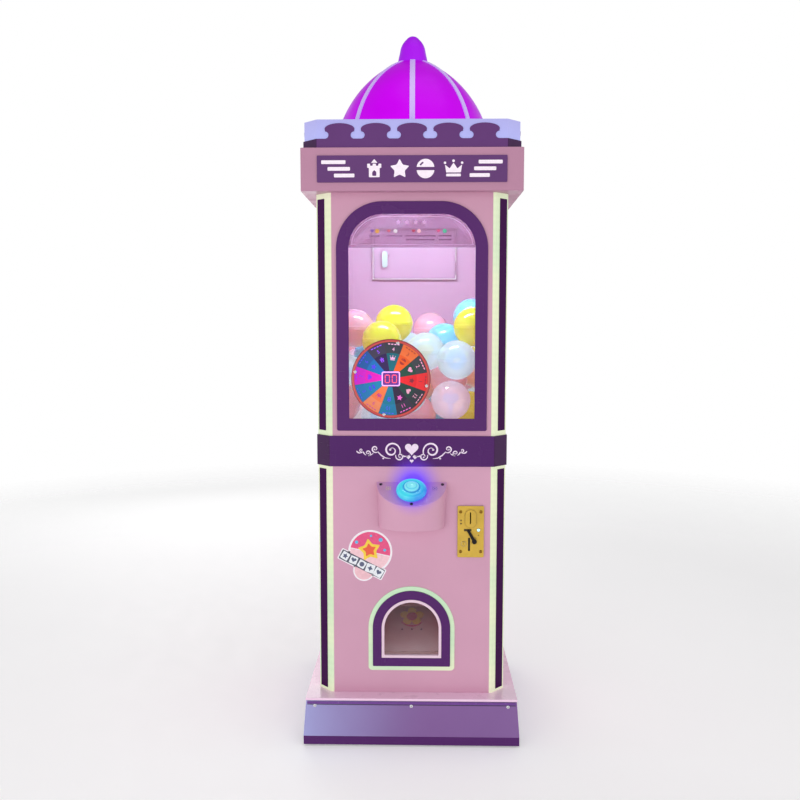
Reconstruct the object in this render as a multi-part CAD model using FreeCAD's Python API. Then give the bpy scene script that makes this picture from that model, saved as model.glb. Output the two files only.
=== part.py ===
"""Capsule toy machine: a floor-standing castle-shaped cabinet with a lit prize window.

Units are millimetres, +Z is up and the front faces -Y.  The body is modelled about its own
centre line and everything is moved back by ORIGIN_SHIFT at the end, so that the origin is the
centre of the whole machine's footprint, on the floor.
"""
import FreeCAD, Part
import math
import os

V = FreeCAD.Vector

# ---- Driving dimensions -------------------------------------------------------------------
TOTAL_HEIGHT = 1800.0
SHEET = 1.5                     # folded steel sheet of the cabinet
RUNNING_GAP = 0.05              # radial clearance of anything that turns or slides

# Body: a nearly square column with chamfered corners
FRONT, REAR = -238.0, 238.0
SIDE = 234.0                    # half width across
BODY_CHAMFER = 32.0
PANEL_HALF = 195.0              # half width of the flat panels between the corner lights
DIFFUSER = 3.0                  # thickness of the corner light strips
ORIGIN_SHIFT = 19.8

# Heights of the storeys
KICK_BOTTOM = 4.0
SKIRT_BOTTOM = 26.0
SKIRT_TOP = 114.0
TRAY_TOP = 121.0
BAND_BOTTOM = 698.0
BAND_TOP = 774.0
HEADER_BOTTOM = 1363.0
HEADER_TOP = 1464.0
BODY_TOP = HEADER_TOP - SHEET
CROWN_WALL_TOP = 1485.0
MERLON_TOP = 1521.0
LIGHTBOX_TOP = 1530.0
CROWN_DECK = 1519.0
DOME_TOP = 1729.0

# Base: half width, front and rear of the kick strip and of the skirt's upper edge
KICK_HALF, KICK_FRONT, KICK_REAR = 268.5, -283.0, 269.0
UPPER_HALF, UPPER_FRONT, UPPER_REAR = 262.0, -276.0, 262.0
TRAY_OVERHANG = 1.5
FRAME_OUTER, FRAME_INNER = 225.0, 185.0
FRAME_BOTTOM = 40.0
FOOT_POSITION = 205.0
FOOT_RADIUS = 25.0
STEM_RADIUS = 5.0

# Window, its surround and the round prize dial in front of the glass
WINDOW_HALF = 153.5
WINDOW_BOTTOM, WINDOW_TOP = 817.0, 1312.0
WINDOW_RADIUS = 83.0
BEZEL_WIDTH = 30.0
BEZEL_THICKNESS = 4.0
GLASS = 4.0
DIAL_X, DIAL_Z, DIAL_RADIUS = -51.0, 915.0, 97.0
DIAL_SCREW_RADIUS = 89.5
DIAL_SCREW_ANGLES = (-11.0, 79.0, 169.0, 259.0)
DISPLAY_WIDTH, DISPLAY_HEIGHT = 45.0, 36.0
DRUM_RADIUS = 59.5
SIGN_BOTTOM_Z = 1233.0          # lower edge of the clear instruction plate

# Capsule feed
CAPSULE_RADIUS = 50.0
CAPSULE_WALL = 1.5
DECK_BOTTOM, DECK_TOP = 676.0, 680.0
RING_INNER, RING_OUTER, RING_TOP = 174.5, 177.5, 754.0
CAROUSEL_RADIUS, CAROUSEL_BOTTOM, CAROUSEL_TOP = 168.0, 682.0, 752.0
HUB_RADIUS, VANE = 24.0, 4.0
POCKET_CIRCLE, POCKETS = 108.0, 5
DROP_RADIUS = 58.0
SHAFT_RADIUS = 8.0
FUNNEL_TOP, FUNNEL_RADIUS = 800.0, 226.0
CHUTE_HALF, CHUTE_WALL = 62.0, 1.5

# Prize door
PRIZE_WIDTH, PRIZE_BOTTOM, PRIZE_TOP = 150.0, 212.0, 362.0
TRIM_RING = 22.0
GLOW_RING = 11.0
LINER_WALL = 7.0
POCKET_HALF, POCKET_TOP, POCKET_REAR = 78.0, 375.0, -40.0
FLAP_AXIS_Y, FLAP_AXIS_Z = -226.0, 364.5
FLAP_HALF, FLAP_BOTTOM, FLAP_THICKNESS = 70.0, 222.0, 3.0
ROD_RADIUS = 3.0

# Button console: half an ellipse in plan under an inclined plate
CONSOLE_WIDTH_HALF, CONSOLE_DEPTH = 86.5, 70.0
CONSOLE_FOOT_HALF, CONSOLE_FOOT_DEPTH = 82.0, 53.0
CONSOLE_BOTTOM, CONSOLE_BACK_TOP, CONSOLE_FRONT_TOP = 547.0, 657.0, 611.0
CONSOLE_SHEET = 2.0
BUTTON_OFFSET = 31.0            # distance of the button's centre in front of the door panel
BUTTON_TRAVEL = 5.0

# Coin mechanism
COIN_X, COIN_Z = 146.4, 535.5
COIN_WIDTH, COIN_HEIGHT, COIN_THICKNESS = 65.5, 129.4, 3.5
COIN_SCREW_X, COIN_SCREW_Z = 25.0, 50.0
LEVER_X, LEVER_Z = 141.0, 538.0
LEVER_TIP_X, LEVER_TIP_Z = 155.5, 511.0
LEVER_PIN_RADIUS = 2.5

# Rear doors: low and high X, low and high Z of each opening
HATCH_OPENING = ((-119.0, 127.0), (1179.0, 1327.0))
SERVICE_OPENING = ((-150.0, 150.0), (170.0, 650.0))
DOOR_GAP = 2.0
DOOR_DEPTH = 16.5
LIP_DEPTH = 12.0
HINGE_AXIS_Y = REAR + 4.5
KNUCKLE_RADIUS, HINGE_PIN_RADIUS = 4.0, 2.0
KNUCKLE, KNUCKLE_GAP = 11.6, 0.4
LOCK_INSET = 34.0
LOCK_RADIUS = 8.0
CAM_LENGTH = 40.0

# Header and crown
HEADER_HALF = 265.0
SIGN_HALF, SIGN_LOW, SIGN_HIGH, SIGN_THICKNESS = 225.0, 1382.5, 1445.0, 3.0
CROWN_HALF, CROWN_CHAMFER, CROWN_WALL = 262.0, 35.0, 3.0
MERLONS, MERLON_SPACING = 5, 85.7
MERLON_HALF, MERLON_CAP_HEIGHT = 35.3, 13.5
NOTCH_RADIUS, NOTCH_Z = 8.5, 1493.5

# Dome: an arc whose centre lies beyond the axis, turned about the axis
DOME_ARC_RADIUS, DOME_ARC_R, DOME_ARC_Z = 280.0, -73.0, 1473.0
DOME_WALL = 3.0
RIBS, RIB_WIDTH, RIB_HEIGHT = 8, 13.0, 2.5

# Pan-head screws
SCREW_RADIUS, SCREW_HEAD_RADIUS, SCREW_HEAD, SCREW_LENGTH = 2.0, 4.0, 2.4, 8.0
SCREW_HOLE = SCREW_RADIUS + RUNNING_GAP


# ---- Shape helpers ------------------------------------------------------------------------
def box(x, y, z):
    """Block between the low and high value given along each axis."""
    return Part.makeBox(x[1] - x[0], y[1] - y[0], z[1] - z[0], V(x[0], y[0], z[0]))


def prism(points, z0, z1):
    """Upright prism on a plan outline."""
    corners = [V(px, py, z0) for px, py in points]
    wire = Part.makePolygon(corners + corners[:1])
    return Part.Face(wire).extrude(V(0, 0, z1 - z0))


def octagon(half_x, half_y, chamfer, grow=0.0):
    """Chamfered rectangle outline, moved outwards on every side by grow."""
    x, y = half_x + grow, half_y + grow
    corner = chamfer + grow * (1 - math.tan(math.radians(22.5)))
    return [
        (corner - x, -y), (x - corner, -y), (x, corner - y), (x, y - corner),
        (x - corner, y), (corner - x, y), (-x, y - corner), (-x, corner - y),
    ]


def body_prism(grow, z0, z1):
    """Prism on the body's own outline, moved outwards by grow."""
    return prism(octagon(SIDE, REAR, BODY_CHAMFER, grow), z0, z1)


def crown_prism(grow, z0, z1):
    """Prism on the crown's outline, moved outwards by grow."""
    return prism(octagon(CROWN_HALF, CROWN_HALF, CROWN_CHAMFER, grow), z0, z1)


def tube(outer, inner, z0, z1):
    """Round upright tube about the centre line."""
    base = V(0, 0, z0)
    return Part.makeCylinder(outer, z1 - z0, base).cut(Part.makeCylinder(inner, z1 - z0, base))


def rod_y(x, z, radius, y0, y1):
    """Round rod along Y."""
    return Part.makeCylinder(radius, y1 - y0, V(x, y0, z), V(0, 1, 0))


def folded(points, thickness, z0, z1):
    """Folded sheet: its outer line in plan, with the sheet on the left of the line."""
    def direction(a, b):
        length = math.hypot(b[0] - a[0], b[1] - a[1])
        return (b[0] - a[0]) / length, (b[1] - a[1]) / length

    runs = [direction(a, b) for a, b in zip(points, points[1:])]
    inner = []
    for index, (px, py) in enumerate(points):
        ax, ay = runs[max(index - 1, 0)]
        bx, by = runs[min(index, len(runs) - 1)]
        scale = thickness / (1 + ax * bx + ay * by)
        inner.append((px - (ay + by) * scale, py + (ax + bx) * scale))
    return prism(points + inner[::-1], z0, z1)


def rounded_face(x, y, radii):
    """Rectangle in the XY plane; radii go lower left, lower right, upper right, upper left."""
    corners = [(x[0], y[0], 1, 1), (x[1], y[0], -1, 1), (x[1], y[1], -1, -1), (x[0], y[1], 1, -1)]
    bulge = 1 - math.sqrt(0.5)
    edges = []
    first = last = None
    for index, ((px, py, sx, sy), radius) in enumerate(zip(corners, radii)):
        beside = V(px + sx * radius, py, 0)
        above = V(px, py + sy * radius, 0)
        start, end = (above, beside) if index % 2 == 0 else (beside, above)
        if last is not None and last.distanceToPoint(start) > 1e-6:
            edges.append(Part.makeLine(last, start))
        if radius > 0:
            middle = V(px + sx * radius * bulge, py + sy * radius * bulge, 0)
            edges.append(Part.Arc(start, middle, end).toShape())
        first = first or start
        last = end
    edges.append(Part.makeLine(last, first))
    return Part.Face(Part.Wire(edges))


def upright(face, y_front, y_back):
    """Stands a face drawn in X and Z (as X and Y) up, between two depths."""
    solid = face.extrude(V(0, 0, y_back - y_front))
    solid.rotate(V(0, 0, 0), V(1, 0, 0), 90)
    solid.translate(V(0, y_back, 0))
    return solid


def arch(half, z0, z1, radius, y_front, y_back, corner=0.0):
    """Upright plate with rounded shoulders, centred on the machine."""
    face = rounded_face((-half, half), (z0, z1), (corner, corner, radius, radius))
    return upright(face, y_front, y_back)


def revolved(edges):
    """Solid of revolution about Z from edges drawn in the XZ plane."""
    return Part.Face(Part.Wire(edges)).revolve(V(0, 0, 0), V(0, 0, 1), 360)


def turned(points):
    """Solid of revolution about Z from straight runs through (radius, height) points."""
    corners = [V(radius, 0, height) for radius, height in points]
    return Part.Face(Part.makePolygon(corners + corners[:1])).revolve(V(0, 0, 0), V(0, 0, 1), 360)


def arc(start, middle, end):
    """Arc through three (radius, height) points of the XZ plane."""
    return Part.Arc(V(start[0], 0, start[1]), V(middle[0], 0, middle[1]), V(end[0], 0, end[1])).toShape()


def crown_arc(radius, z, top):
    """Arc centred on the axis, from (radius, z) up to the axis at top."""
    centre = (top ** 2 - z ** 2 - radius ** 2) / (2 * (top - z))
    middle = radius / 2
    height = centre + math.sqrt((top - centre) ** 2 - middle ** 2)
    return arc((radius, z), (middle, height), (0, top))


def line(start, end):
    """Straight edge between two (radius, height) points of the XZ plane."""
    return Part.makeLine(V(start[0], 0, start[1]), V(end[0], 0, end[1]))


def four_corners(shape):
    """A shape made for one corner, mirrored to all four."""
    origin = V(0, 0, 0)
    across = shape.mirror(origin, V(1, 0, 0))
    return [shape, across, shape.mirror(origin, V(0, 1, 0)), across.mirror(origin, V(0, 1, 0))]


# ---- Base ---------------------------------------------------------------------------------
def rectangle(half, front, rear, inset=0.0):
    """Plan rectangle of the base, moved inwards by inset."""
    return [
        (-half + inset, front + inset), (half - inset, front + inset),
        (half - inset, rear - inset), (-half + inset, rear - inset),
    ]


def levelling_feet():
    """Round pads on threaded stems, each with its lock nut under the base frame."""
    pad = turned([
        (0, 0), (FOOT_RADIUS - 1, 0), (FOOT_RADIUS, 1), (FOOT_RADIUS, 6), (9, 12),
        (STEM_RADIUS, 12), (STEM_RADIUS, FRAME_BOTTOM + 35), (0, FRAME_BOTTOM + 35),
    ])
    hexagon = [
        (9.8 * math.cos(math.radians(60 * k)), 9.8 * math.sin(math.radians(60 * k))) for k in range(6)
    ]
    foot = pad.fuse(prism(hexagon, FRAME_BOTTOM - 7, FRAME_BOTTOM))
    foot.translate(V(FOOT_POSITION, FOOT_POSITION, 0))
    return Part.makeCompound(four_corners(foot))


def base_frame():
    """Welded ring of channel, open below, with a threaded boss for each foot."""
    top = TRAY_TOP - SHEET
    wall = 2.0
    square = (-FRAME_OUTER, FRAME_OUTER)
    hollow = (-FRAME_INNER, FRAME_INNER)
    ring = box(square, square, (FRAME_BOTTOM, top)).cut(box(hollow, hollow, (FRAME_BOTTOM, top)))
    outer = (-FRAME_OUTER + wall, FRAME_OUTER - wall)
    inner = (-FRAME_INNER - wall, FRAME_INNER + wall)
    channel = box(outer, outer, (FRAME_BOTTOM, top - wall))
    channel = channel.cut(box(inner, inner, (FRAME_BOTTOM, top - wall)))
    boss = Part.makeCylinder(18.5, 20, V(FOOT_POSITION, FOOT_POSITION, FRAME_BOTTOM))
    bore = Part.makeCylinder(
        STEM_RADIUS + RUNNING_GAP, 20, V(FOOT_POSITION, FOOT_POSITION, FRAME_BOTTOM))
    frame = ring.cut(channel).multiFuse(four_corners(boss))
    return frame.cut(Part.makeCompound(four_corners(bore)))


def kick_strip():
    """Upright strip round the foot of the skirt, with a flange that the skirt stands on."""
    outline = rectangle(KICK_HALF, KICK_FRONT, KICK_REAR)
    wall = prism(outline, KICK_BOTTOM, SKIRT_BOTTOM)
    wall = wall.cut(prism(rectangle(KICK_HALF, KICK_FRONT, KICK_REAR, SHEET), KICK_BOTTOM, SKIRT_BOTTOM))
    flange = prism(outline, SKIRT_BOTTOM - SHEET, SKIRT_BOTTOM)
    inner = rectangle(KICK_HALF, KICK_FRONT, KICK_REAR, 16)
    return wall.fuse(flange.cut(prism(inner, SKIRT_BOTTOM - SHEET, SKIRT_BOTTOM)))


def frustum(inset, z_top):
    """Space inside the sloping skirt, moved inwards by inset."""
    share = (z_top - SKIRT_BOTTOM) / (SKIRT_TOP - SKIRT_BOTTOM)
    half = KICK_HALF + (UPPER_HALF - KICK_HALF) * share
    front = KICK_FRONT + (UPPER_FRONT - KICK_FRONT) * share
    rear = KICK_REAR + (UPPER_REAR - KICK_REAR) * share
    foot = rectangle(KICK_HALF, KICK_FRONT, KICK_REAR, inset)
    lower = [V(px, py, SKIRT_BOTTOM) for px, py in foot]
    upper = [V(px, py, z_top) for px, py in rectangle(half, front, rear, inset)]
    loops = [lower, upper]
    for k in range(4):
        following = (k + 1) % 4
        loops.append([lower[k], lower[following], upper[following], upper[k]])
    faces = [Part.Face(Part.makePolygon(loop + loop[:1])) for loop in loops]
    return Part.Solid(Part.Shell(faces))


SKIRT_WALL = 2.0
SKIRT_SEAM = -255.0
SKIRT_SEAM_GAP = 0.5
SKIRT_SLOPE = math.degrees(math.atan((UPPER_FRONT - KICK_FRONT) / (SKIRT_TOP - SKIRT_BOTTOM)))
SKIRT_SCREW_Z = 102.0
SKIRT_SCREW_X = (-240.0, 0.0, 240.0)


def skirt_surface_y(z):
    """Depth of the front skirt's outer face at a height."""
    return KICK_FRONT + (z - SKIRT_BOTTOM) * math.tan(math.radians(SKIRT_SLOPE))


def skirt_normal():
    """Outward direction of the sloping front skirt."""
    slope = math.radians(SKIRT_SLOPE)
    return V(0, -math.cos(slope), math.sin(slope))


def skirt_shell():
    """Sloping plastic skirt with a flange that reaches in to the base frame."""
    reach = (-FRAME_OUTER - 0.2, FRAME_OUTER + 0.2)
    shell = frustum(0, SKIRT_TOP).cut(frustum(SKIRT_WALL, SKIRT_TOP - SKIRT_WALL))
    return shell.cut(box(reach, reach, (SKIRT_BOTTOM, SKIRT_TOP + 1)))


def skirt_front():
    """Front part of the skirt, screwed on from outside."""
    front = skirt_shell().common(box((-300, 300), (-300, SKIRT_SEAM), (0, 200)))
    for x in SKIRT_SCREW_X:
        point = V(x, skirt_surface_y(SKIRT_SCREW_Z), SKIRT_SCREW_Z) + skirt_normal() * 2
        front = front.cut(Part.makeCylinder(SCREW_HOLE, 8, point, skirt_normal() * -1))
    return front


def skirt_wrap():
    """Sides and rear of the skirt."""
    return skirt_shell().common(box((-300, 300), (SKIRT_SEAM + SKIRT_SEAM_GAP, 300), (0, 200)))


def plinth_tray():
    """Flat tray that the cabinet stands on, with a lip folded down over the skirt."""
    outline = rectangle(UPPER_HALF, UPPER_FRONT, UPPER_REAR, -TRAY_OVERHANG)
    inside = rectangle(UPPER_HALF, UPPER_FRONT, UPPER_REAR, SHEET - TRAY_OVERHANG)
    return prism(outline, SKIRT_TOP + 1, TRAY_TOP).cut(prism(inside, SKIRT_TOP + 1, TRAY_TOP - SHEET))


# ---- Cabinet ------------------------------------------------------------------------------
def corner_posts():
    """Folded posts behind the corner lights, with flanges behind the flat panels."""
    bend = BODY_CHAMFER + DIFFUSER * math.tan(math.radians(22.5))
    flange, jog = 176.0, 192.0
    points = [
        (flange, FRONT + SHEET), (jog, FRONT + SHEET), (jog + 2, FRONT + DIFFUSER),
        (SIDE - bend, FRONT + DIFFUSER), (SIDE - DIFFUSER, FRONT + bend),
        (SIDE - DIFFUSER, -jog - 2), (SIDE - SHEET, -jog), (SIDE - SHEET, -flange),
    ]
    return Part.makeCompound(four_corners(folded(points, SHEET, TRAY_TOP, BODY_TOP)))


def corner_diffusers():
    """Light strips that wrap every chamfer, below and above the waist band."""
    points = [
        (PANEL_HALF, FRONT), (SIDE - BODY_CHAMFER, FRONT),
        (SIDE, FRONT + BODY_CHAMFER), (SIDE, -PANEL_HALF),
    ]
    lower = folded(points, DIFFUSER, TRAY_TOP, BAND_BOTTOM)
    upper = folded(points, DIFFUSER, BAND_TOP, HEADER_BOTTOM)
    return Part.makeCompound(four_corners(lower) + four_corners(upper))


def corner_inserts():
    """Dark strips on the chamfers, leaving a line of light on each side."""
    half_width, thickness = 13.0, 1.5
    aside = 13.0                # distance of its middle from the side face
    strips = []
    for z0, z1 in ((TRAY_TOP + 7, BAND_BOTTOM - 8), (BAND_TOP + 12, HEADER_BOTTOM - 13)):
        strip = box((-half_width, half_width), (-thickness, 0), (z0, z1))
        strip.rotate(V(0, 0, 0), V(0, 0, 1), 45)
        strip.translate(V(SIDE - aside, FRONT + BODY_CHAMFER - aside, 0))
        strips += four_corners(strip)
    return Part.makeCompound(strips)


PANEL_SEAM = (BAND_BOTTOM + BAND_TOP) / 2
SEAM_HALF_GAP = 0.25
VALIDATOR_HALF = 19.0


def coin_screws():
    """Centres of the coin plate's four screws, as (x, z)."""
    return [
        (COIN_X + sx * COIN_SCREW_X, COIN_Z + sz * COIN_SCREW_Z) for sx in (-1, 1) for sz in (-1, 1)
    ]


def front_lower_panel():
    """Front sheet below the waist band, cut for the prize door, the console and the coin unit."""
    panel = box(
        (-PANEL_HALF, PANEL_HALF), (FRONT, FRONT + SHEET), (TRAY_TOP, PANEL_SEAM - SEAM_HALF_GAP))
    half = PRIZE_WIDTH / 2 + 0.25
    cuts = [
        arch(half, PRIZE_BOTTOM - 0.25, PRIZE_TOP + 0.25, half, FRONT - 1, FRONT + 3),
        rod_y(0, CONSOLE_BOTTOM + 50, 12, FRONT - 1, FRONT + 3),
        box((COIN_X - VALIDATOR_HALF - 0.5, COIN_X + VALIDATOR_HALF + 0.5), (FRONT - 1, FRONT + 3),
            (COIN_Z - 57.5, COIN_Z + 57.5)),
    ]
    cuts += [rod_y(x, z, SCREW_HOLE, FRONT - 1, FRONT + 3) for x, z in coin_screws()]
    return panel.cut(Part.makeCompound(cuts))


def front_upper_panel():
    """Front sheet above the waist band, with the window opening."""
    panel = box(
        (-PANEL_HALF, PANEL_HALF), (FRONT, FRONT + SHEET), (PANEL_SEAM + SEAM_HALF_GAP, BODY_TOP))
    return panel.cut(arch(
        WINDOW_HALF + 1, WINDOW_BOTTOM - 1, WINDOW_TOP + 1, WINDOW_RADIUS + 1, FRONT - 1, FRONT + 3))


def side_panel(side):
    """Plain sheet on the left (-1) or the right (+1)."""
    x = sorted((side * SIDE, side * (SIDE - SHEET)))
    return box(x, (-PANEL_HALF, PANEL_HALF), (TRAY_TOP, BODY_TOP))


def waist_band():
    """Chamfered band round the cabinet, over the joint between the panels."""
    return body_prism(3.0, BAND_BOTTOM, BAND_TOP).cut(body_prism(0.0, BAND_BOTTOM, BAND_TOP))


# ---- Rear panel, doors, hinges and locks ---------------------------------------------------
HATCH_HINGES = (HATCH_OPENING[1][0] + 16, HATCH_OPENING[1][1] - 52)
SERVICE_HINGES = (SERVICE_OPENING[1][0] + 45, SERVICE_OPENING[1][1] - 81)
HINGE_HEIGHT = 3 * KNUCKLE + 3 * KNUCKLE_GAP
LEAF, LEAF_WIDTH, LEAF_CLEAR = 2.0, 24.0, 4.5
INLET_X, INLET_Z = -120.0, 146.0
INLET_HALF_WIDTH, INLET_HALF_HEIGHT = 13.6, 10.0


def knuckle_levels(z0):
    """Low and high Z of the three knuckles of a hinge that starts at z0."""
    pitch = KNUCKLE + 1.5 * KNUCKLE_GAP
    return [(z0 + k * pitch, z0 + k * pitch + KNUCKLE) for k in range(3)]


def hinge_side(axis_x, z0, side, levels):
    """Leaf and knuckles of one side of a hinge: side +1 is the cabinet's, -1 the door's."""
    y = (REAR, REAR + LEAF)
    leaf_x = sorted((axis_x + side * LEAF_CLEAR, axis_x + side * LEAF_WIDTH))
    pieces = []
    for low, high in levels:
        tab_x = sorted((axis_x, axis_x + side * LEAF_CLEAR))
        pieces.append(box(tab_x, y, (low, high)))
        pieces.append(Part.makeCylinder(KNUCKLE_RADIUS, high - low, V(axis_x, HINGE_AXIS_Y, low)))
    leaf = box(leaf_x, y, (z0, z0 + HINGE_HEIGHT))
    bore = Part.makeCylinder(
        HINGE_PIN_RADIUS + RUNNING_GAP, HINGE_HEIGHT + 2, V(axis_x, HINGE_AXIS_Y, z0 - 1))
    return leaf.multiFuse(pieces).cut(bore)


def rear_frame():
    """Rear sheet with two lipped openings, its halves of the hinges and the inlet cut-out."""
    panel = box((-PANEL_HALF, PANEL_HALF), (REAR - SHEET, REAR), (TRAY_TOP, BODY_TOP))
    lip_y = (REAR - SHEET - LIP_DEPTH, REAR - SHEET)
    lips, halves = [], []
    for (x, z), hinges in ((HATCH_OPENING, HATCH_HINGES), (SERVICE_OPENING, SERVICE_HINGES)):
        panel = panel.cut(box(x, (REAR - 5, REAR + 1), z))
        around = box((x[0] - SHEET, x[1] + SHEET), lip_y, (z[0] - SHEET, z[1] + SHEET))
        lips.append(around.cut(box(x, lip_y, z)))
        for z0 in hinges:
            levels = knuckle_levels(z0)
            halves.append(hinge_side(x[1], z0, 1, [levels[0], levels[2]]))
    inlet = box(
        (INLET_X - INLET_HALF_WIDTH - 0.2, INLET_X + INLET_HALF_WIDTH + 0.2), (REAR - 5, REAR + 1),
        (INLET_Z - INLET_HALF_HEIGHT - 0.2, INLET_Z + INLET_HALF_HEIGHT + 0.2))
    return panel.multiFuse(lips + halves).cut(inlet)


def lock_centre(opening):
    """Centre of a door's lock, at mid-height of its free side."""
    (x0, _), (z0, z1) = opening
    return x0 + DOOR_GAP + LOCK_INSET, (z0 + z1) / 2


def pan_door(opening, hinges):
    """Pan-shaped door: skin, returns, its halves of the hinges and the lock's housing."""
    x = (opening[0][0] + DOOR_GAP, opening[0][1] - DOOR_GAP)
    z = (opening[1][0] + DOOR_GAP, opening[1][1] - DOOR_GAP)
    inner_x = (x[0] + SHEET, x[1] - SHEET)
    inner_z = (z[0] + SHEET, z[1] - SHEET)
    pan = box(x, (REAR - DOOR_DEPTH, REAR), z)
    pan = pan.cut(box(inner_x, (REAR - DOOR_DEPTH, REAR - SHEET), inner_z))
    halves = [hinge_side(opening[0][1], z0, -1, [knuckle_levels(z0)[1]]) for z0 in hinges]
    lock_x, lock_z = lock_centre(opening)
    rim = rod_y(lock_x, lock_z, 13.0, REAR, REAR + 1.5)
    barrel = rod_y(lock_x, lock_z, 10.5, REAR - 14, REAR + 1)
    nut_points = [
        (lock_x + 14 * math.cos(math.radians(60 * k)), lock_z + 14 * math.sin(math.radians(60 * k)))
        for k in range(6)
    ]
    corners = [V(px, pz, 0) for px, pz in nut_points]
    nut = upright(Part.Face(Part.makePolygon(corners + corners[:1])), REAR - 7, REAR - SHEET)
    bore = rod_y(lock_x, lock_z, LOCK_RADIUS + RUNNING_GAP, REAR - 20, REAR + 5)
    return pan.multiFuse(halves + [rim, barrel, nut]).cut(bore)


def door_lock(opening):
    """Key plug with its cam, drawn unlocked, with the cam pointing down."""
    x, z = lock_centre(opening)
    plug = rod_y(x, z, LOCK_RADIUS, REAR - 17, REAR + 2)
    slot = box((x - 0.8, x + 0.8), (REAR - 2, REAR + 3), (z - 4, z + 4))
    face = rounded_face((x - 8, x + 8), (z - CAM_LENGTH, z + 8), (8, 8, 8, 8))
    cam = upright(face, REAR - 20, REAR - 17)
    return plug.cut(slot).fuse(cam)


def door_hinge_pins():
    """Headed pins through the knuckles of the four hinges."""
    pins = []
    for opening, hinges in ((HATCH_OPENING, HATCH_HINGES), (SERVICE_OPENING, SERVICE_HINGES)):
        for z0 in hinges:
            top = knuckle_levels(z0)[2][1]
            shank = Part.makeCylinder(
                HINGE_PIN_RADIUS, top - z0 + 2, V(opening[0][1], HINGE_AXIS_Y, z0 - 2))
            head = Part.makeCylinder(3.4, 2, V(opening[0][1], HINGE_AXIS_Y, top))
            pins.append(shank.fuse(head))
    return Part.makeCompound(pins)


# ---- Window -------------------------------------------------------------------------------
GLASS_FRONT = FRONT + SHEET
FACE_THICKNESS = 3.0
HOUSING_FRONT = FRONT - 2.0


def window_bezel():
    """Flat surround of the window."""
    outer = arch(
        WINDOW_HALF + BEZEL_WIDTH, WINDOW_BOTTOM - BEZEL_WIDTH, WINDOW_TOP + BEZEL_WIDTH,
        WINDOW_RADIUS + BEZEL_WIDTH, FRONT - BEZEL_THICKNESS, FRONT, 4)
    return outer.cut(arch(
        WINDOW_HALF, WINDOW_BOTTOM, WINDOW_TOP, WINDOW_RADIUS, FRONT - BEZEL_THICKNESS, FRONT, 2))


def window_glass():
    """Toughened pane behind the front panel, drilled behind the dial."""
    margin = 10.5
    pane = arch(
        WINDOW_HALF + margin, WINDOW_BOTTOM - margin, WINDOW_TOP + margin, WINDOW_RADIUS + margin,
        GLASS_FRONT, GLASS_FRONT + GLASS, 3)
    return pane.cut(rod_y(DIAL_X, DIAL_Z, DRUM_RADIUS + 0.5, GLASS_FRONT, GLASS_FRONT + GLASS))


def instruction_plate():
    """Clear tinted plate behind the top of the glass."""
    margin = 6.0
    back = GLASS_FRONT + GLASS
    full = arch(
        WINDOW_HALF + margin, WINDOW_BOTTOM, WINDOW_TOP + margin, WINDOW_RADIUS + margin, back, back + 2)
    return full.common(box((-200, 200), (back - 1, back + 3), (SIGN_BOTTOM_Z, WINDOW_TOP + 50)))


def dial_screws():
    """Centres of the dial's four screws, as (x, z)."""
    return [
        (DIAL_X + DIAL_SCREW_RADIUS * math.cos(math.radians(angle)),
         DIAL_Z + DIAL_SCREW_RADIUS * math.sin(math.radians(angle)))
        for angle in DIAL_SCREW_ANGLES
    ]


def wheel_housing():
    """Back of the lit dial: a disc on the glass and a shallow cup through it."""
    disc = rod_y(DIAL_X, DIAL_Z, DIAL_RADIUS - 1, HOUSING_FRONT, GLASS_FRONT)
    cup = rod_y(DIAL_X, DIAL_Z, DRUM_RADIUS, GLASS_FRONT, GLASS_FRONT + 14.5)
    hollow = rod_y(DIAL_X, DIAL_Z, DRUM_RADIUS - 3, GLASS_FRONT + 1, GLASS_FRONT + 15)
    housing = disc.fuse(cup).cut(hollow)
    holes = [rod_y(x, z, SCREW_HOLE, HOUSING_FRONT - 1, GLASS_FRONT + 1) for x, z in dial_screws()]
    return housing.cut(Part.makeCompound(holes))


def display_outline(margin, y_front, y_back):
    """Rounded block of the counter display, larger by margin all round."""
    x = (DIAL_X - DISPLAY_WIDTH / 2 - margin, DIAL_X + DISPLAY_WIDTH / 2 + margin)
    z = (DIAL_Z - DISPLAY_HEIGHT / 2 - margin, DIAL_Z + DISPLAY_HEIGHT / 2 + margin)
    return upright(rounded_face(x, z, (5, 5, 5, 5)), y_front, y_back)


def wheel_face():
    """Printed front disc of the dial."""
    face = rod_y(DIAL_X, DIAL_Z, DIAL_RADIUS, HOUSING_FRONT - FACE_THICKNESS, HOUSING_FRONT)
    holes = [rod_y(x, z, SCREW_HOLE, HOUSING_FRONT - 5, HOUSING_FRONT + 1) for x, z in dial_screws()]
    holes.append(display_outline(0, HOUSING_FRONT - 5, HOUSING_FRONT + 1))
    return face.cut(Part.makeCompound(holes))


def wheel_display():
    """Counter display in the middle of the dial."""
    return display_outline(-0.2, HOUSING_FRONT - FACE_THICKNESS - 0.8, HOUSING_FRONT)


def chamber_lamp():
    """Light bar behind the front panel, above the window."""
    back = FRONT + SHEET
    channel = box((-150, 150), (back, back + 14), (1376, 1398))
    groove = box((-148, 148), (back + 3, back + 15), (1379, 1395))
    lens = box((-148, 148), (back + 3, back + 11), (1379, 1395))
    return Part.makeCompound([channel.cut(groove), lens])


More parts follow.
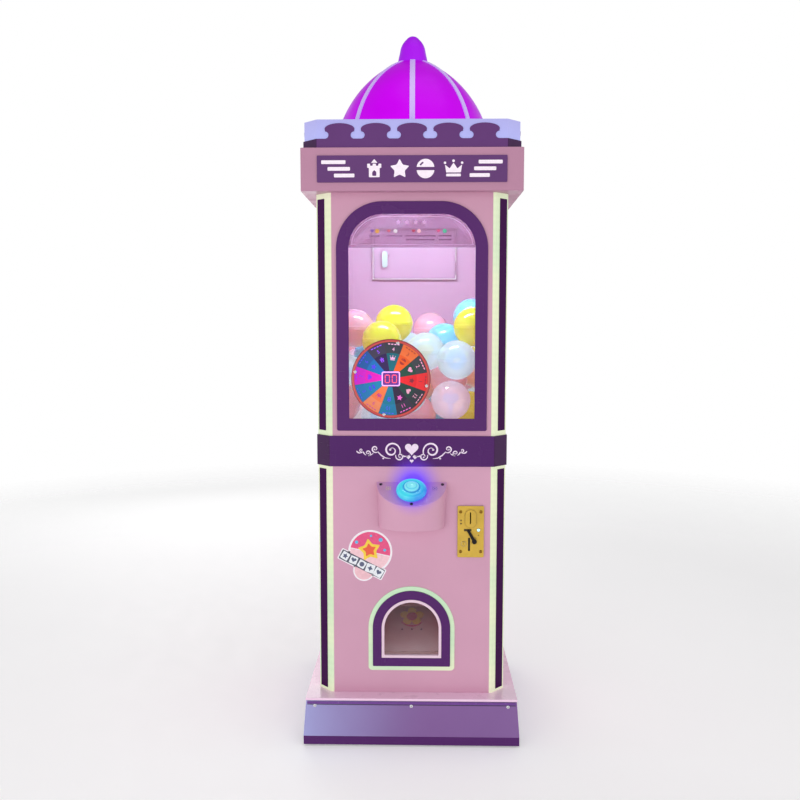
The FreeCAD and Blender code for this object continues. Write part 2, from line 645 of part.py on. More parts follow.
# ---- Capsule feed --------------------------------------------------------------------------
def mech_deck():
    """Flat deck that carries the feed, with its drop hole, and the guard ring standing on it."""
    holes = [
        Part.makeCylinder(SHAFT_RADIUS + 1, 10, V(0, 0, DECK_BOTTOM - 3)),
        Part.makeCylinder(DROP_RADIUS, 10, V(0, -POCKET_CIRCLE, DECK_BOTTOM - 3)),
    ]
    deck = body_prism(-4.5, DECK_BOTTOM, DECK_TOP).cut(Part.makeCompound(holes))
    return Part.makeCompound([deck, tube(RING_OUTER, RING_INNER, DECK_TOP, RING_TOP)])


def carousel():
    """Paddle wheel that pushes the capsules round: a hub with upright vanes between the pockets."""
    height = CAROUSEL_TOP - CAROUSEL_BOTTOM
    hub = Part.makeCylinder(HUB_RADIUS, height, V(0, 0, CAROUSEL_BOTTOM))
    outline = [
        V(0, 0, CAROUSEL_BOTTOM), V(CAROUSEL_RADIUS, 0, CAROUSEL_BOTTOM),
        V(CAROUSEL_RADIUS, 0, CAROUSEL_TOP - 22), V(CAROUSEL_RADIUS - 22, 0, CAROUSEL_TOP),
        V(0, 0, CAROUSEL_TOP),
    ]
    vanes = []
    for k in range(POCKETS):
        vane = Part.Face(Part.makePolygon(outline + outline[:1])).extrude(V(0, VANE, 0))
        vane.translate(V(0, -VANE / 2, 0))
        vane.rotate(V(0, 0, 0), V(0, 0, 1), -90 + 360 / POCKETS * (k + 0.5))
        vanes.append(vane)
    bore = Part.makeCylinder(SHAFT_RADIUS, height, V(0, 0, CAROUSEL_BOTTOM))
    return hub.multiFuse(vanes).cut(bore)


def carousel_shaft():
    """Shaft from the gear motor up through the deck into the hub."""
    return Part.makeCylinder(SHAFT_RADIUS, CAROUSEL_TOP + 4 - 630, V(0, 0, 630))


def gear_motor():
    """Motor and gearbox hung under the deck on four spacers."""
    gearbox = box((-35, 35), (-35, 35), (626, 662))
    plate = box((-48, 48), (-43, 48), (662, 666))
    can = Part.makeCylinder(21, 66, V(0, 0, 560))
    spacers = [
        Part.makeCylinder(5, DECK_BOTTOM - 666, V(x, y, 666)) for x in (-40, 40) for y in (-37, 40)
    ]
    bore = Part.makeCylinder(SHAFT_RADIUS + RUNNING_GAP, 40, V(0, 0, 630))
    return gearbox.multiFuse([plate, can] + spacers).cut(bore)


def hopper_funnel():
    """Sloping floor of the toy chamber, with a cover over the drop hole."""
    wall = 2.0
    low, high = RING_OUTER, FUNNEL_RADIUS
    cone = turned([
        (low - wall, RING_TOP), (low, RING_TOP), (high, FUNNEL_TOP - wall),
        (high, FUNNEL_TOP), (high - wall, FUNNEL_TOP),
    ])
    rim = body_prism(-6, FUNNEL_TOP - wall, FUNNEL_TOP)
    rim = rim.cut(Part.makeCylinder(high - wall, wall, V(0, 0, FUNNEL_TOP - wall)))
    cover = box((-60, 60), (-182, -50), (RING_TOP + 2, RING_TOP + 5))
    cover = cover.common(Part.makeCylinder(RING_OUTER + 1.5, 20, V(0, 0, RING_TOP - 5)))
    return cone.multiFuse([rim, cover])


def drop_chute():
    """Square tube from the drop hole to the prize pocket."""
    centre = -POCKET_CIRCLE
    outer = box((-CHUTE_HALF, CHUTE_HALF), (centre - CHUTE_HALF, centre + CHUTE_HALF),
                (POCKET_TOP, DECK_BOTTOM))
    half = CHUTE_HALF - CHUTE_WALL
    return outer.cut(box((-half, half), (centre - half, centre + half), (POCKET_TOP, DECK_BOTTOM)))


def funnel_floor(x, y):
    """Lowest height at which a capsule's centre can rest above the funnel."""
    lowest, slope, start, rim = 811.0, 0.93, 142.0, FUNNEL_TOP + CAPSULE_RADIUS + 0.5
    return min(rim, max(lowest, 792.5 + slope * (math.hypot(x, y) - start)))


# Capsules on the top of the heap: (x, depth behind the door, height) of their centres
TOP_CAPSULES = (
    (-48, 174, 1049), (-76, 60, 1007), (-149, 140, 1037), (50, 330, 1031), (86, 232, 1001),
    (158, 200, 1066), (155, 100, 1041), (35, 130, 977), (112, 62, 958), (98, 62, 857),
)
HEAP_SPACING = 2 * CAPSULE_RADIUS + 0.6
HEAP_COUNT = 44
HEAP_TOP = 1010.0


def heap_centres():
    """Centres of all capsules: the rest of the heap fills from the lowest free place upwards."""
    centres = [(float(x), FRONT + depth, float(z)) for x, depth, z in TOP_CAPSULES]
    steps = 26
    x_range, y_range = (-178.5, 178.5), (FRONT + 68, REAR - 54)
    places = []
    for i in range(steps + 1):
        for k in range(steps + 1):
            x = x_range[0] + (x_range[1] - x_range[0]) * i / steps
            y = y_range[0] + (y_range[1] - y_range[0]) * k / steps
            if abs(x) + abs(y) < 360:
                places.append((x, y, funnel_floor(x, y)))

    def resting_height(x, y, floor):
        height = floor
        moved = True
        while moved:
            moved = False
            for cx, cy, cz in centres:
                apart = HEAP_SPACING ** 2 - (x - cx) ** 2 - (y - cy) ** 2
                if apart > 0 and abs(height - cz) < math.sqrt(apart) - 1e-6:
                    height = cz + math.sqrt(apart)
                    moved = True
        return height

    while len(centres) < HEAP_COUNT:
        height, x, y = min((resting_height(x, y, floor), x, y) for x, y, floor in places)
        if height > HEAP_TOP:
            break
        centres.append((x, y, height))
    return centres


def capsules():
    """Two-part hollow capsules: an upper and a lower half shell each, tilted at odd angles."""
    inner = CAPSULE_RADIUS - CAPSULE_WALL
    slant = math.sqrt(0.5)
    half = revolved([
        line((inner, 0), (CAPSULE_RADIUS, 0)),
        arc((CAPSULE_RADIUS, 0), (CAPSULE_RADIUS * slant, CAPSULE_RADIUS * slant), (0, CAPSULE_RADIUS)),
        line((0, CAPSULE_RADIUS), (0, inner)),
        arc((0, inner), (inner * slant, inner * slant), (inner, 0)),
    ])
    shells = []
    for index, centre in enumerate(heap_centres()):
        tilt = 25 + 137.5 * index % 130
        turn = 77.0 * index % 360
        for flip in (0, 180):
            shell = half.copy()
            shell.rotate(V(0, 0, 0), V(1, 0, 0), tilt + flip)
            shell.rotate(V(0, 0, 0), V(0, 0, 1), turn)
            shell.translate(V(*centre))
            shells.append(shell)
    return Part.makeCompound(shells)


# ---- Prize door ----------------------------------------------------------------------------
TRIM_FRONT = FRONT - 5.0
LINER_BACK = -233.0


def prize_outline(grow, y_front, y_back, corner=0.0):
    """Arch of the prize door, larger by grow all round."""
    half = PRIZE_WIDTH / 2 + grow
    return arch(half, PRIZE_BOTTOM - grow, PRIZE_TOP + grow, half, y_front, y_back, corner)


def prize_trim():
    """Dark surround of the prize door."""
    return prize_outline(TRIM_RING, TRIM_FRONT, FRONT, 3).cut(prize_outline(0, TRIM_FRONT, FRONT))


def prize_light():
    """Glowing line round the dark surround."""
    outer = prize_outline(TRIM_RING + GLOW_RING, FRONT - 2.5, FRONT, 10)
    return outer.cut(prize_outline(TRIM_RING + 0.2, FRONT - 2.5, FRONT, 3.2))


def prize_liner():
    """Pale sleeve that lines the opening."""
    outer = prize_outline(-0.2, TRIM_FRONT - 0.5, LINER_BACK)
    return outer.cut(prize_outline(-LINER_WALL, TRIM_FRONT - 0.5, LINER_BACK, 2))


def pocket_profile(inset, front):
    """Side outline of the prize pocket: a level sill, then a floor that rises to the rear wall."""
    rear, sill_rear = POCKET_REAR - inset, FRONT + 22
    sill, floor_rear, top = 211.0 + inset, 276.0 + inset, POCKET_TOP - inset
    return [
        V(0, front, sill), V(0, sill_rear, sill), V(0, rear, floor_rear),
        V(0, rear, top), V(0, front, top),
    ]


def prize_box():
    """Pocket behind the prize door, with a front flange and an opening under the chute."""
    wall = 2.0
    front = FRONT + SHEET

    def along_x(points, half):
        face = Part.Face(Part.makePolygon(points + points[:1]))
        face.translate(V(-half, 0, 0))
        return face.extrude(V(2 * half, 0, 0))

    shell = along_x(pocket_profile(0, front), POCKET_HALF)
    flange = box((-92, 92), (front, front + SHEET), (196, 386))
    inside = along_x(pocket_profile(wall, front + SHEET), POCKET_HALF - wall)
    mouth = prize_outline(0.3, front - 1, LINER_BACK)
    centre, half = -POCKET_CIRCLE, CHUTE_HALF - 2
    entry = box((-half, half), (centre - half, centre + half), (POCKET_TOP - wall, POCKET_TOP))
    bore = Part.makeCylinder(
        ROD_RADIUS, 2 * POCKET_HALF, V(-POCKET_HALF, FLAP_AXIS_Y, FLAP_AXIS_Z), V(1, 0, 0))
    return shell.fuse(flange).cut(Part.makeCompound([inside, mouth, entry])).cut(bore)


def flap_rod():
    """Rod that the clear flap hangs on."""
    ends = POCKET_HALF + 2
    return Part.makeCylinder(ROD_RADIUS, 2 * ends, V(-ends, FLAP_AXIS_Y, FLAP_AXIS_Z), V(1, 0, 0))


def prize_flap():
    """Clear flap with a sleeve along its top edge."""
    y = (FLAP_AXIS_Y - FLAP_THICKNESS / 2, FLAP_AXIS_Y + FLAP_THICKNESS / 2)
    plate = box((-FLAP_HALF, FLAP_HALF), y, (FLAP_BOTTOM, FLAP_AXIS_Z))
    start = V(-FLAP_HALF, FLAP_AXIS_Y, FLAP_AXIS_Z)
    sleeve = Part.makeCylinder(6, 2 * FLAP_HALF, start, V(1, 0, 0))
    bore = Part.makeCylinder(ROD_RADIUS + RUNNING_GAP, 2 * FLAP_HALF, start, V(1, 0, 0))
    return plate.fuse(sleeve).cut(bore)


# ---- Button console ------------------------------------------------------------------------
CONSOLE_RISE = CONSOLE_BACK_TOP - CONSOLE_FRONT_TOP
CONSOLE_SLOPE = math.degrees(math.atan(CONSOLE_RISE / CONSOLE_DEPTH))
# Screws of the console plate: x, and distance in front of the door panel
CONSOLE_SCREWS = ((-76.0, 6.5), (76.0, 6.5), (0.0, 63.0))
BEZEL_FLOOR, BEZEL_HEIGHT = 3.0, 20.5
TUBE_RADIUS = 11.8


def console_surface_z(depth):
    """Height of the housing's sloping rim at a distance in front of the door panel."""
    return CONSOLE_BACK_TOP - depth * CONSOLE_RISE / CONSOLE_DEPTH


def on_console(shape, x=0.0, depth=BUTTON_OFFSET):
    """Puts a shape drawn about Z on the console plate's upper face."""
    slope = math.radians(CONSOLE_SLOPE)
    lift = V(0, -math.sin(slope), math.cos(slope)) * CONSOLE_SHEET
    placed = shape.copy()
    placed.rotate(V(0, 0, 0), V(1, 0, 0), CONSOLE_SLOPE)
    placed.translate(V(x, FRONT - depth, console_surface_z(depth)) + lift)
    return placed


def console_prism(inset, z0, z1):
    """Half-elliptical pod that widens upwards, with its walls moved inwards by inset."""
    def outline(z):
        rise = z - CONSOLE_BOTTOM
        full_rise = CONSOLE_BACK_TOP - CONSOLE_BOTTOM
        front_rise = CONSOLE_FRONT_TOP - CONSOLE_BOTTOM
        major = CONSOLE_FOOT_HALF + (CONSOLE_WIDTH_HALF - CONSOLE_FOOT_HALF) * rise / full_rise
        minor = CONSOLE_FOOT_DEPTH + (CONSOLE_DEPTH - CONSOLE_FOOT_DEPTH) * rise / front_rise
        centre = V(0, FRONT, z)
        ellipse = Part.Ellipse(centre, major - inset, minor - inset)
        curve = Part.ArcOfEllipse(ellipse, math.pi, 2 * math.pi).toShape()
        ends = [vertex.Point for vertex in curve.Vertexes]
        return Part.Wire([curve, Part.makeLine(ends[1], ends[0])])

    return Part.makeLoft([outline(z0), outline(z1)], True, True)


def console_wedge(low, high):
    """Slab between two distances above the housing's sloping rim."""
    slab = box((-200, 200), (-200, 200), (low, high))
    slab.rotate(V(0, 0, 0), V(1, 0, 0), CONSOLE_SLOPE)
    slab.translate(V(0, FRONT - BUTTON_OFFSET, console_surface_z(BUTTON_OFFSET)))
    return slab


def console_housing():
    """Half-elliptical pod, open at the top and against the panel, with three screw bosses."""
    full = console_prism(0, CONSOLE_BOTTOM, CONSOLE_BACK_TOP)
    hollow = console_prism(CONSOLE_SHEET, CONSOLE_BOTTOM + CONSOLE_SHEET, CONSOLE_BACK_TOP)
    bosses = [
        Part.makeCylinder(9, 22, V(x, FRONT - depth, console_surface_z(depth) - 16))
        for x, depth in CONSOLE_SCREWS
    ]
    housing = full.cut(hollow).fuse(Part.makeCompound(bosses).common(full))
    housing = housing.cut(console_wedge(0, 200))
    holes = [
        on_console(Part.makeCylinder(SCREW_HOLE, 14, V(0, 0, -12)), x, depth)
        for x, depth in CONSOLE_SCREWS
    ]
    return housing.cut(Part.makeCompound(holes))


def console_plate():
    """Sloping cover of the pod, which carries the button."""
    plate = console_prism(0, CONSOLE_BOTTOM, CONSOLE_BACK_TOP + 10)
    plate = plate.common(console_wedge(0, CONSOLE_SHEET))
    holes = [
        on_console(Part.makeCylinder(SCREW_HOLE, 8, V(0, 0, -5)), x, depth)
        for x, depth in CONSOLE_SCREWS
    ]
    holes.append(on_console(Part.makeCylinder(TUBE_RADIUS + 0.2, 8, V(0, 0, -5))))
    return plate.cut(Part.makeCompound(holes))


def button_bezel():
    """Saucer-shaped ring round the button."""
    foot, rim, well = 30.0, 34.0, 19.0
    return on_console(revolved([
        line((TUBE_RADIUS + 0.2, 0), (foot, 0)),
        line((foot, 0), (rim, 3.5)),
        arc((rim, 3.5), (37.5, 9.0), (rim, 15.0)),
        arc((rim, 15.0), (28.9, 19.1), (23, BEZEL_HEIGHT)),
        line((23, BEZEL_HEIGHT), (well, BEZEL_HEIGHT)),
        line((well, BEZEL_HEIGHT), (well, BEZEL_FLOOR)),
        line((well, BEZEL_FLOOR), (TUBE_RADIUS + 0.2, BEZEL_FLOOR)),
        line((TUBE_RADIUS + 0.2, BEZEL_FLOOR), (TUBE_RADIUS + 0.2, 0)),
    ]))


def button_plunger():
    """Domed cap on a guided stem."""
    cap, shoulder, top, stem = 18.5, 22.0, 30.0, 5.0
    base = BEZEL_FLOOR + BUTTON_TRAVEL + 0.5
    return on_console(revolved([
        line((0, -12), (stem, -12)),
        line((stem, -12), (stem, base)),
        line((stem, base), (cap, base)),
        line((cap, base), (cap, shoulder)),
        crown_arc(cap, shoulder, top),
        line((0, top), (0, -12)),
    ]))


def button_switch():
    """Threaded guide tube with its nut and the switch block under the plate."""
    bore = 5.0 + RUNNING_GAP
    guide = turned([
        (bore, -24), (TUBE_RADIUS, -24), (TUBE_RADIUS, -8), (17, -8), (17, -CONSOLE_SHEET),
        (TUBE_RADIUS, -CONSOLE_SHEET), (TUBE_RADIUS, 3), (bore, 3),
    ])
    block = box((-10, 10), (-10, 10), (-38, -24))
    return on_console(guide.fuse(block))


# ---- Coin unit -----------------------------------------------------------------------------
COIN_FRONT = FRONT - COIN_THICKNESS
COIN_SLOT_X = (COIN_X - 2.3, COIN_X + 0.7)
BOSS_HALF_WIDTH, BOSS_HALF_HEIGHT, BOSS_OFFSET = 13.5, 22.0, 33.0


def coin_plate():
    """Cast face plate with the coin slot, the return slot, the lock and an indicator lamp."""
    face = rounded_face(
        (COIN_X - COIN_WIDTH / 2, COIN_X + COIN_WIDTH / 2),
        (COIN_Z - COIN_HEIGHT / 2, COIN_Z + COIN_HEIGHT / 2), (3, 3, 3, 3))
    plate = upright(face, COIN_FRONT, FRONT)
    round_end = BOSS_HALF_WIDTH - 0.5
    boss_face = rounded_face(
        (COIN_X - BOSS_HALF_WIDTH, COIN_X + BOSS_HALF_WIDTH),
        (COIN_Z + BOSS_OFFSET - BOSS_HALF_HEIGHT, COIN_Z + BOSS_OFFSET + BOSS_HALF_HEIGHT),
        (round_end,) * 4)
    boss = upright(boss_face, COIN_FRONT - 2, COIN_FRONT + 1)
    lock = rod_y(COIN_X - 17.2, COIN_Z - 30.5, 5, COIN_FRONT - 1.5, COIN_FRONT + 1)
    lamp = rod_y(COIN_X + 19.3, COIN_Z + 4.5, 2.5, COIN_FRONT - 1, COIN_FRONT + 1)
    key_slot = box((COIN_X - 17.8, COIN_X - 16.6), (COIN_FRONT - 2, COIN_FRONT), (COIN_Z - 33, COIN_Z - 28))
    through = (COIN_FRONT - 3, FRONT + 1)
    coin_slot = box(COIN_SLOT_X, through, (COIN_Z + 20, COIN_Z + 49))
    return_slot = box((COIN_X - 6.3, COIN_X - 1.3), through, (COIN_Z - 48.5, COIN_Z - 15.5))
    recess = box((COIN_X - 16.7, COIN_X + 1.9), (COIN_FRONT, COIN_FRONT + 1), (COIN_Z + 1, COIN_Z + 7))
    cuts = [key_slot, coin_slot, return_slot, recess]
    cuts += [rod_y(x, z, SCREW_HOLE, COIN_FRONT - 1, FRONT + 1) for x, z in coin_screws()]
    cuts.append(rod_y(LEVER_X, LEVER_Z, LEVER_PIN_RADIUS + RUNNING_GAP, COIN_FRONT - 3, FRONT + 1))
    return plate.multiFuse([boss, lock, lamp]).cut(Part.makeCompound(cuts))


def coin_lever():
    """Return lever: a bar with a round thumb end on a pin through the plate."""
    y_front, y_back = COIN_FRONT - 4.5, COIN_FRONT - 1
    length = math.hypot(LEVER_TIP_X - LEVER_X, LEVER_TIP_Z - LEVER_Z)
    angle = math.degrees(math.atan2(LEVER_TIP_Z - LEVER_Z, LEVER_TIP_X - LEVER_X))
    face = rounded_face((-4, length), (-3.5, 3.5), (3.4, 3.4, 3.4, 3.4))
    bar = upright(face, y_front, y_back)
    bar.rotate(V(0, 0, 0), V(0, 1, 0), -angle)
    bar.translate(V(LEVER_X, 0, LEVER_Z))
    thumb = rod_y(LEVER_TIP_X, LEVER_TIP_Z, 6, y_front, y_back)
    pin = rod_y(LEVER_X, LEVER_Z, LEVER_PIN_RADIUS, y_front, FRONT + 0.5)
    return bar.multiFuse([thumb, pin])


def coin_validator():
    """Coin checker behind the plate, with the tube that drops coins into the cash box."""
    x = (COIN_X - VALIDATOR_HALF, COIN_X + VALIDATOR_HALF)
    body = box(x, (FRONT + 1, FRONT + 56), (COIN_Z - 57, COIN_Z + 57))
    slot = box(COIN_SLOT_X, (FRONT, FRONT + 50), (COIN_Z + 15, COIN_Z + 52))
    fall = box(COIN_SLOT_X, (FRONT + 26, FRONT + 36), (COIN_Z - 58, COIN_Z + 20))
    tube_outer = box((COIN_X - 15, COIN_X + 15), (FRONT + 24, FRONT + 38), (305, COIN_Z - 56))
    tube_inner = box((COIN_X - 14, COIN_X + 14), (FRONT + 25, FRONT + 37), (304, COIN_Z - 57))
    socket = rod_y(LEVER_X, LEVER_Z, LEVER_PIN_RADIUS + 0.6, FRONT, FRONT + 4)
    return body.fuse(tube_outer).cut(Part.makeCompound([slot, fall, tube_inner, socket]))


def coin_box():
    """Open-topped cash box standing on the tray."""
    x, y, z = (98, 172), (-215, -95), (TRAY_TOP, 300)
    wall = 1.5
    hollow = box((x[0] + wall, x[1] - wall), (y[0] + wall, y[1] - wall), (z[0] + wall, z[1] + 1))
    return box(x, y, z).cut(hollow)


# ---- Electrics -----------------------------------------------------------------------------
def power_supply():
    """Enclosed power supply on the tray, with its terminal strip and vent slots."""
    x, y, z = (-210, -112), (10, 169), (TRAY_TOP, TRAY_TOP + 42)
    case = box(x, y, z)
    step = box(x, (y[0] - 1, y[0] + 16), (z[0] + 16, z[1] + 1))
    strip = box((x[0] + 8, x[1] - 8), (y[0] + 1, y[0] + 15), (z[0] + 15, z[0] + 28))
    vents = [
        box((x[0] + 15, x[1] - 15), (y[0] + 40 + 12 * k, y[0] + 44 + 12 * k), (z[1] - 1, z[1] + 1))
        for k in range(8)
    ]
    return case.cut(step).cut(Part.makeCompound(vents)).fuse(strip)


def control_board():
    """Circuit board on four stand-offs on the right-hand panel."""
    board_x = (SIDE - SHEET - 12, SIDE - SHEET - 10)
    y, z = (-60, 100), (380, 500)
    board = box(board_x, y, z)
    posts = [
        Part.makeCylinder(3, 10, V(board_x[1], py, pz), V(1, 0, 0))
        for py in (y[0] + 8, y[1] - 8) for pz in (z[0] + 8, z[1] - 8)
    ]
    plugs = [box((board_x[0] - 10, board_x[0]), (y[0] + 20 + 32 * k, y[0] + 42 + 32 * k),
                 (z[0] + 4, z[0] + 12)) for k in range(4)]
    chip = box((board_x[0] - 3, board_x[0]), (-10, 20), (435, 465))
    return board.multiFuse(posts + plugs + [chip])


def power_inlet():
    """Mains inlet in the rear panel, with its three pins."""
    x = (INLET_X - INLET_HALF_WIDTH, INLET_X + INLET_HALF_WIDTH)
    z = (INLET_Z - INLET_HALF_HEIGHT, INLET_Z + INLET_HALF_HEIGHT)
    flange_face = rounded_face((INLET_X - 25, INLET_X + 25), (INLET_Z - 11.5, INLET_Z + 11.5), (5,) * 4)
    flange = upright(flange_face, REAR, REAR + 2)
    body = box(x, (REAR - 22, REAR + 1), z)
    well = box((INLET_X - 12, INLET_X + 12), (REAR - 15, REAR + 3), (INLET_Z - 8, INLET_Z + 8))
    pins = [
        box((INLET_X + px - 1, INLET_X + px + 1), (REAR - 16, REAR), (INLET_Z + pz - 2, INLET_Z + pz + 2))
        for px, pz in ((-7, -2), (0, 2), (7, -2))
    ]
    return flange.fuse(body).cut(well).multiFuse(pins)


# ---- Header, crown and dome -----------------------------------------------------------------
def header_shell():
    """Square head of the cabinet, closed above and open below round the body."""
    def rounded_block(half, z0, z1, radius):
        block = box((-half, half), (-half, half), (z0, z1))
        upright_edges = [
            edge for edge in block.Edges
            if abs(edge.Vertexes[0].Point.z - edge.Vertexes[1].Point.z) > 1
        ]
        return block.makeFillet(radius, upright_edges)

    outer = rounded_block(HEADER_HALF, HEADER_BOTTOM, HEADER_TOP, 6)
    inner = rounded_block(HEADER_HALF - SHEET, HEADER_BOTTOM + SHEET, HEADER_TOP - SHEET, 4.5)
    collar = body_prism(0.3, HEADER_BOTTOM - 1, HEADER_BOTTOM + SHEET + 1)
    wire_hole = Part.makeCylinder(20, 10, V(0, 0, HEADER_TOP - 5))
    return outer.cut(Part.makeCompound([inner, collar, wire_hole]))


def header_sign():
    """Sign plate on the front of the header."""
    face = rounded_face((-SIGN_HALF, SIGN_HALF), (SIGN_LOW, SIGN_HIGH), (2, 2, 2, 2))
    return upright(face, -HEADER_HALF - SIGN_THICKNESS, -HEADER_HALF)


def merlon(offset):
    """One battlement of the front face: a wide cap on a waisted neck."""
    y = (-CROWN_HALF, -CROWN_HALF + CROWN_WALL)
    cap_z = MERLON_TOP - MERLON_CAP_HEIGHT
    ellipse = Part.Ellipse(V(offset, cap_z, 0), MERLON_HALF, MERLON_CAP_HEIGHT).toShape()
    cap = upright(Part.Face(Part.Wire([ellipse])), *y)
    neck = box((offset - MERLON_HALF + 0.6, offset + MERLON_HALF - 0.6), y, (CROWN_WALL_TOP - 1, cap_z))
    notches = [
        rod_y(offset + side * (MERLON_HALF - 0.6), NOTCH_Z, NOTCH_RADIUS, y[0] - 1, y[1] + 1)
        for side in (-1, 1)
    ]
    return neck.cut(Part.makeCompound(notches)).fuse(cap)


def crown_band():
    """Chamfered wall round the crown, with battlements on its four faces."""
    wall = crown_prism(0, HEADER_TOP, CROWN_WALL_TOP)
    wall = wall.cut(crown_prism(-CROWN_WALL, HEADER_TOP, CROWN_WALL_TOP))
    merlons = []
    for side in range(4):
        for k in range(MERLONS):
            block = merlon((k - (MERLONS - 1) / 2) * MERLON_SPACING)
            block.rotate(V(0, 0, 0), V(0, 0, 1), 90 * side)
            merlons.append(block)
    return wall.multiFuse(merlons)


def crown_lightbox():
    """Glowing box inside the battlements, with a recessed deck under the dome."""
    wall = crown_prism(-CROWN_WALL, HEADER_TOP, LIGHTBOX_TOP)
    inside = crown_prism(-2 * CROWN_WALL, HEADER_TOP, LIGHTBOX_TOP)
    deck = crown_prism(-1.5 * CROWN_WALL, CROWN_DECK - 4, CROWN_DECK)
    return wall.cut(inside).fuse(deck)


def dome_radius(z, offset=0.0):
    """Radius of the dome at a height, on an arc moved outwards by offset."""
    arc_radius = DOME_ARC_RADIUS + offset
    return DOME_ARC_R + math.sqrt(arc_radius ** 2 - (z - DOME_ARC_Z) ** 2)


def dome_arc(offset, z0, z1):
    """Arc of the dome's outline between two heights."""
    middle = (z0 + z1) / 2
    return arc(*[(dome_radius(z, offset), z) for z in (z0, middle, z1)])


def dome_shell():
    """Thin translucent dome, closed under the knob."""
    top_inner = DOME_TOP - DOME_WALL
    return revolved([
        dome_arc(0, CROWN_DECK, DOME_TOP),
        line((dome_radius(DOME_TOP), DOME_TOP), (0, DOME_TOP)),
        line((0, DOME_TOP), (0, top_inner)),
        line((0, top_inner), (dome_radius(top_inner, -DOME_WALL), top_inner)),
        dome_arc(-DOME_WALL, top_inner, CROWN_DECK),
        line((dome_radius(CROWN_DECK, -DOME_WALL), CROWN_DECK), (dome_radius(CROWN_DECK), CROWN_DECK)),
    ])


def dome_ribs():
    """Pale ribs that run down the dome."""
    band = revolved([
        dome_arc(RIB_HEIGHT, CROWN_DECK, DOME_TOP),
        line((dome_radius(DOME_TOP, RIB_HEIGHT), DOME_TOP), (dome_radius(DOME_TOP), DOME_TOP)),
        dome_arc(0, DOME_TOP, CROWN_DECK),
        line((dome_radius(CROWN_DECK), CROWN_DECK), (dome_radius(CROWN_DECK, RIB_HEIGHT), CROWN_DECK)),
    ])
    ribs = []
    for k in range(RIBS):
        cutter = box((0, 300), (-RIB_WIDTH / 2, RIB_WIDTH / 2), (CROWN_DECK, DOME_TOP))
        cutter.rotate(V(0, 0, 0), V(0, 0, 1), 90 + 360 / RIBS * k)
        ribs += band.common(cutter).Solids
    return Part.makeCompound(ribs)


def dome_knob():
    """Bullet-shaped finial."""
    base = dome_radius(DOME_TOP)
    shoulder, waist, nose = (33.5, 1760.0), (27.5, 1778.5), (17.5, 1791.0)
    return revolved([
        line((0, DOME_TOP), (base, DOME_TOP)),
        line((base, DOME_TOP), shoulder),
        arc(shoulder, waist, nose),
        crown_arc(*nose, TOTAL_HEIGHT),
        line((0, TOTAL_HEIGHT), (0, DOME_TOP)),
    ])


# ---- Screws --------------------------------------------------------------------------------
def screw(length=SCREW_LENGTH):
    """Pan-head screw with a cross recess; its head sits on the plane z = 0, pointing up."""
    side = 0.9
    body = revolved([
        line((0, -length), (SCREW_RADIUS, -length)),
        line((SCREW_RADIUS, -length), (SCREW_RADIUS, 0)),
        line((SCREW_RADIUS, 0), (SCREW_HEAD_RADIUS, 0)),
        line((SCREW_HEAD_RADIUS, 0), (SCREW_HEAD_RADIUS, side)),
        crown_arc(SCREW_HEAD_RADIUS, side, SCREW_HEAD),
        line((0, SCREW_HEAD), (0, -length)),
    ])
    bar = (-1.9, 1.9), (-0.4, 0.4)
    recess = box(*bar, (1.2, 3)).fuse(box(bar[1], bar[0], (1.2, 3)))
    return body.cut(recess)


def screws():
    """All the outside screws: console, coin plate, dial and skirt."""
    placed = [on_console(screw(), x, depth) for x, depth in CONSOLE_SCREWS]

    def facing_front(shape, x, y, z, tip=0.0):
        copy = shape.copy()
        copy.rotate(V(0, 0, 0), V(1, 0, 0), 90 - tip)
        copy.translate(V(x, y, z))
        placed.append(copy)

    for x, z in coin_screws():
        facing_front(screw(), x, COIN_FRONT, z)
    for x, z in dial_screws():
        facing_front(screw(6), x, HOUSING_FRONT - FACE_THICKNESS, z)
    for x in SKIRT_SCREW_X:
        facing_front(screw(), x, skirt_surface_y(SKIRT_SCREW_Z), SKIRT_SCREW_Z, SKIRT_SLOPE)
    return Part.makeCompound(placed)


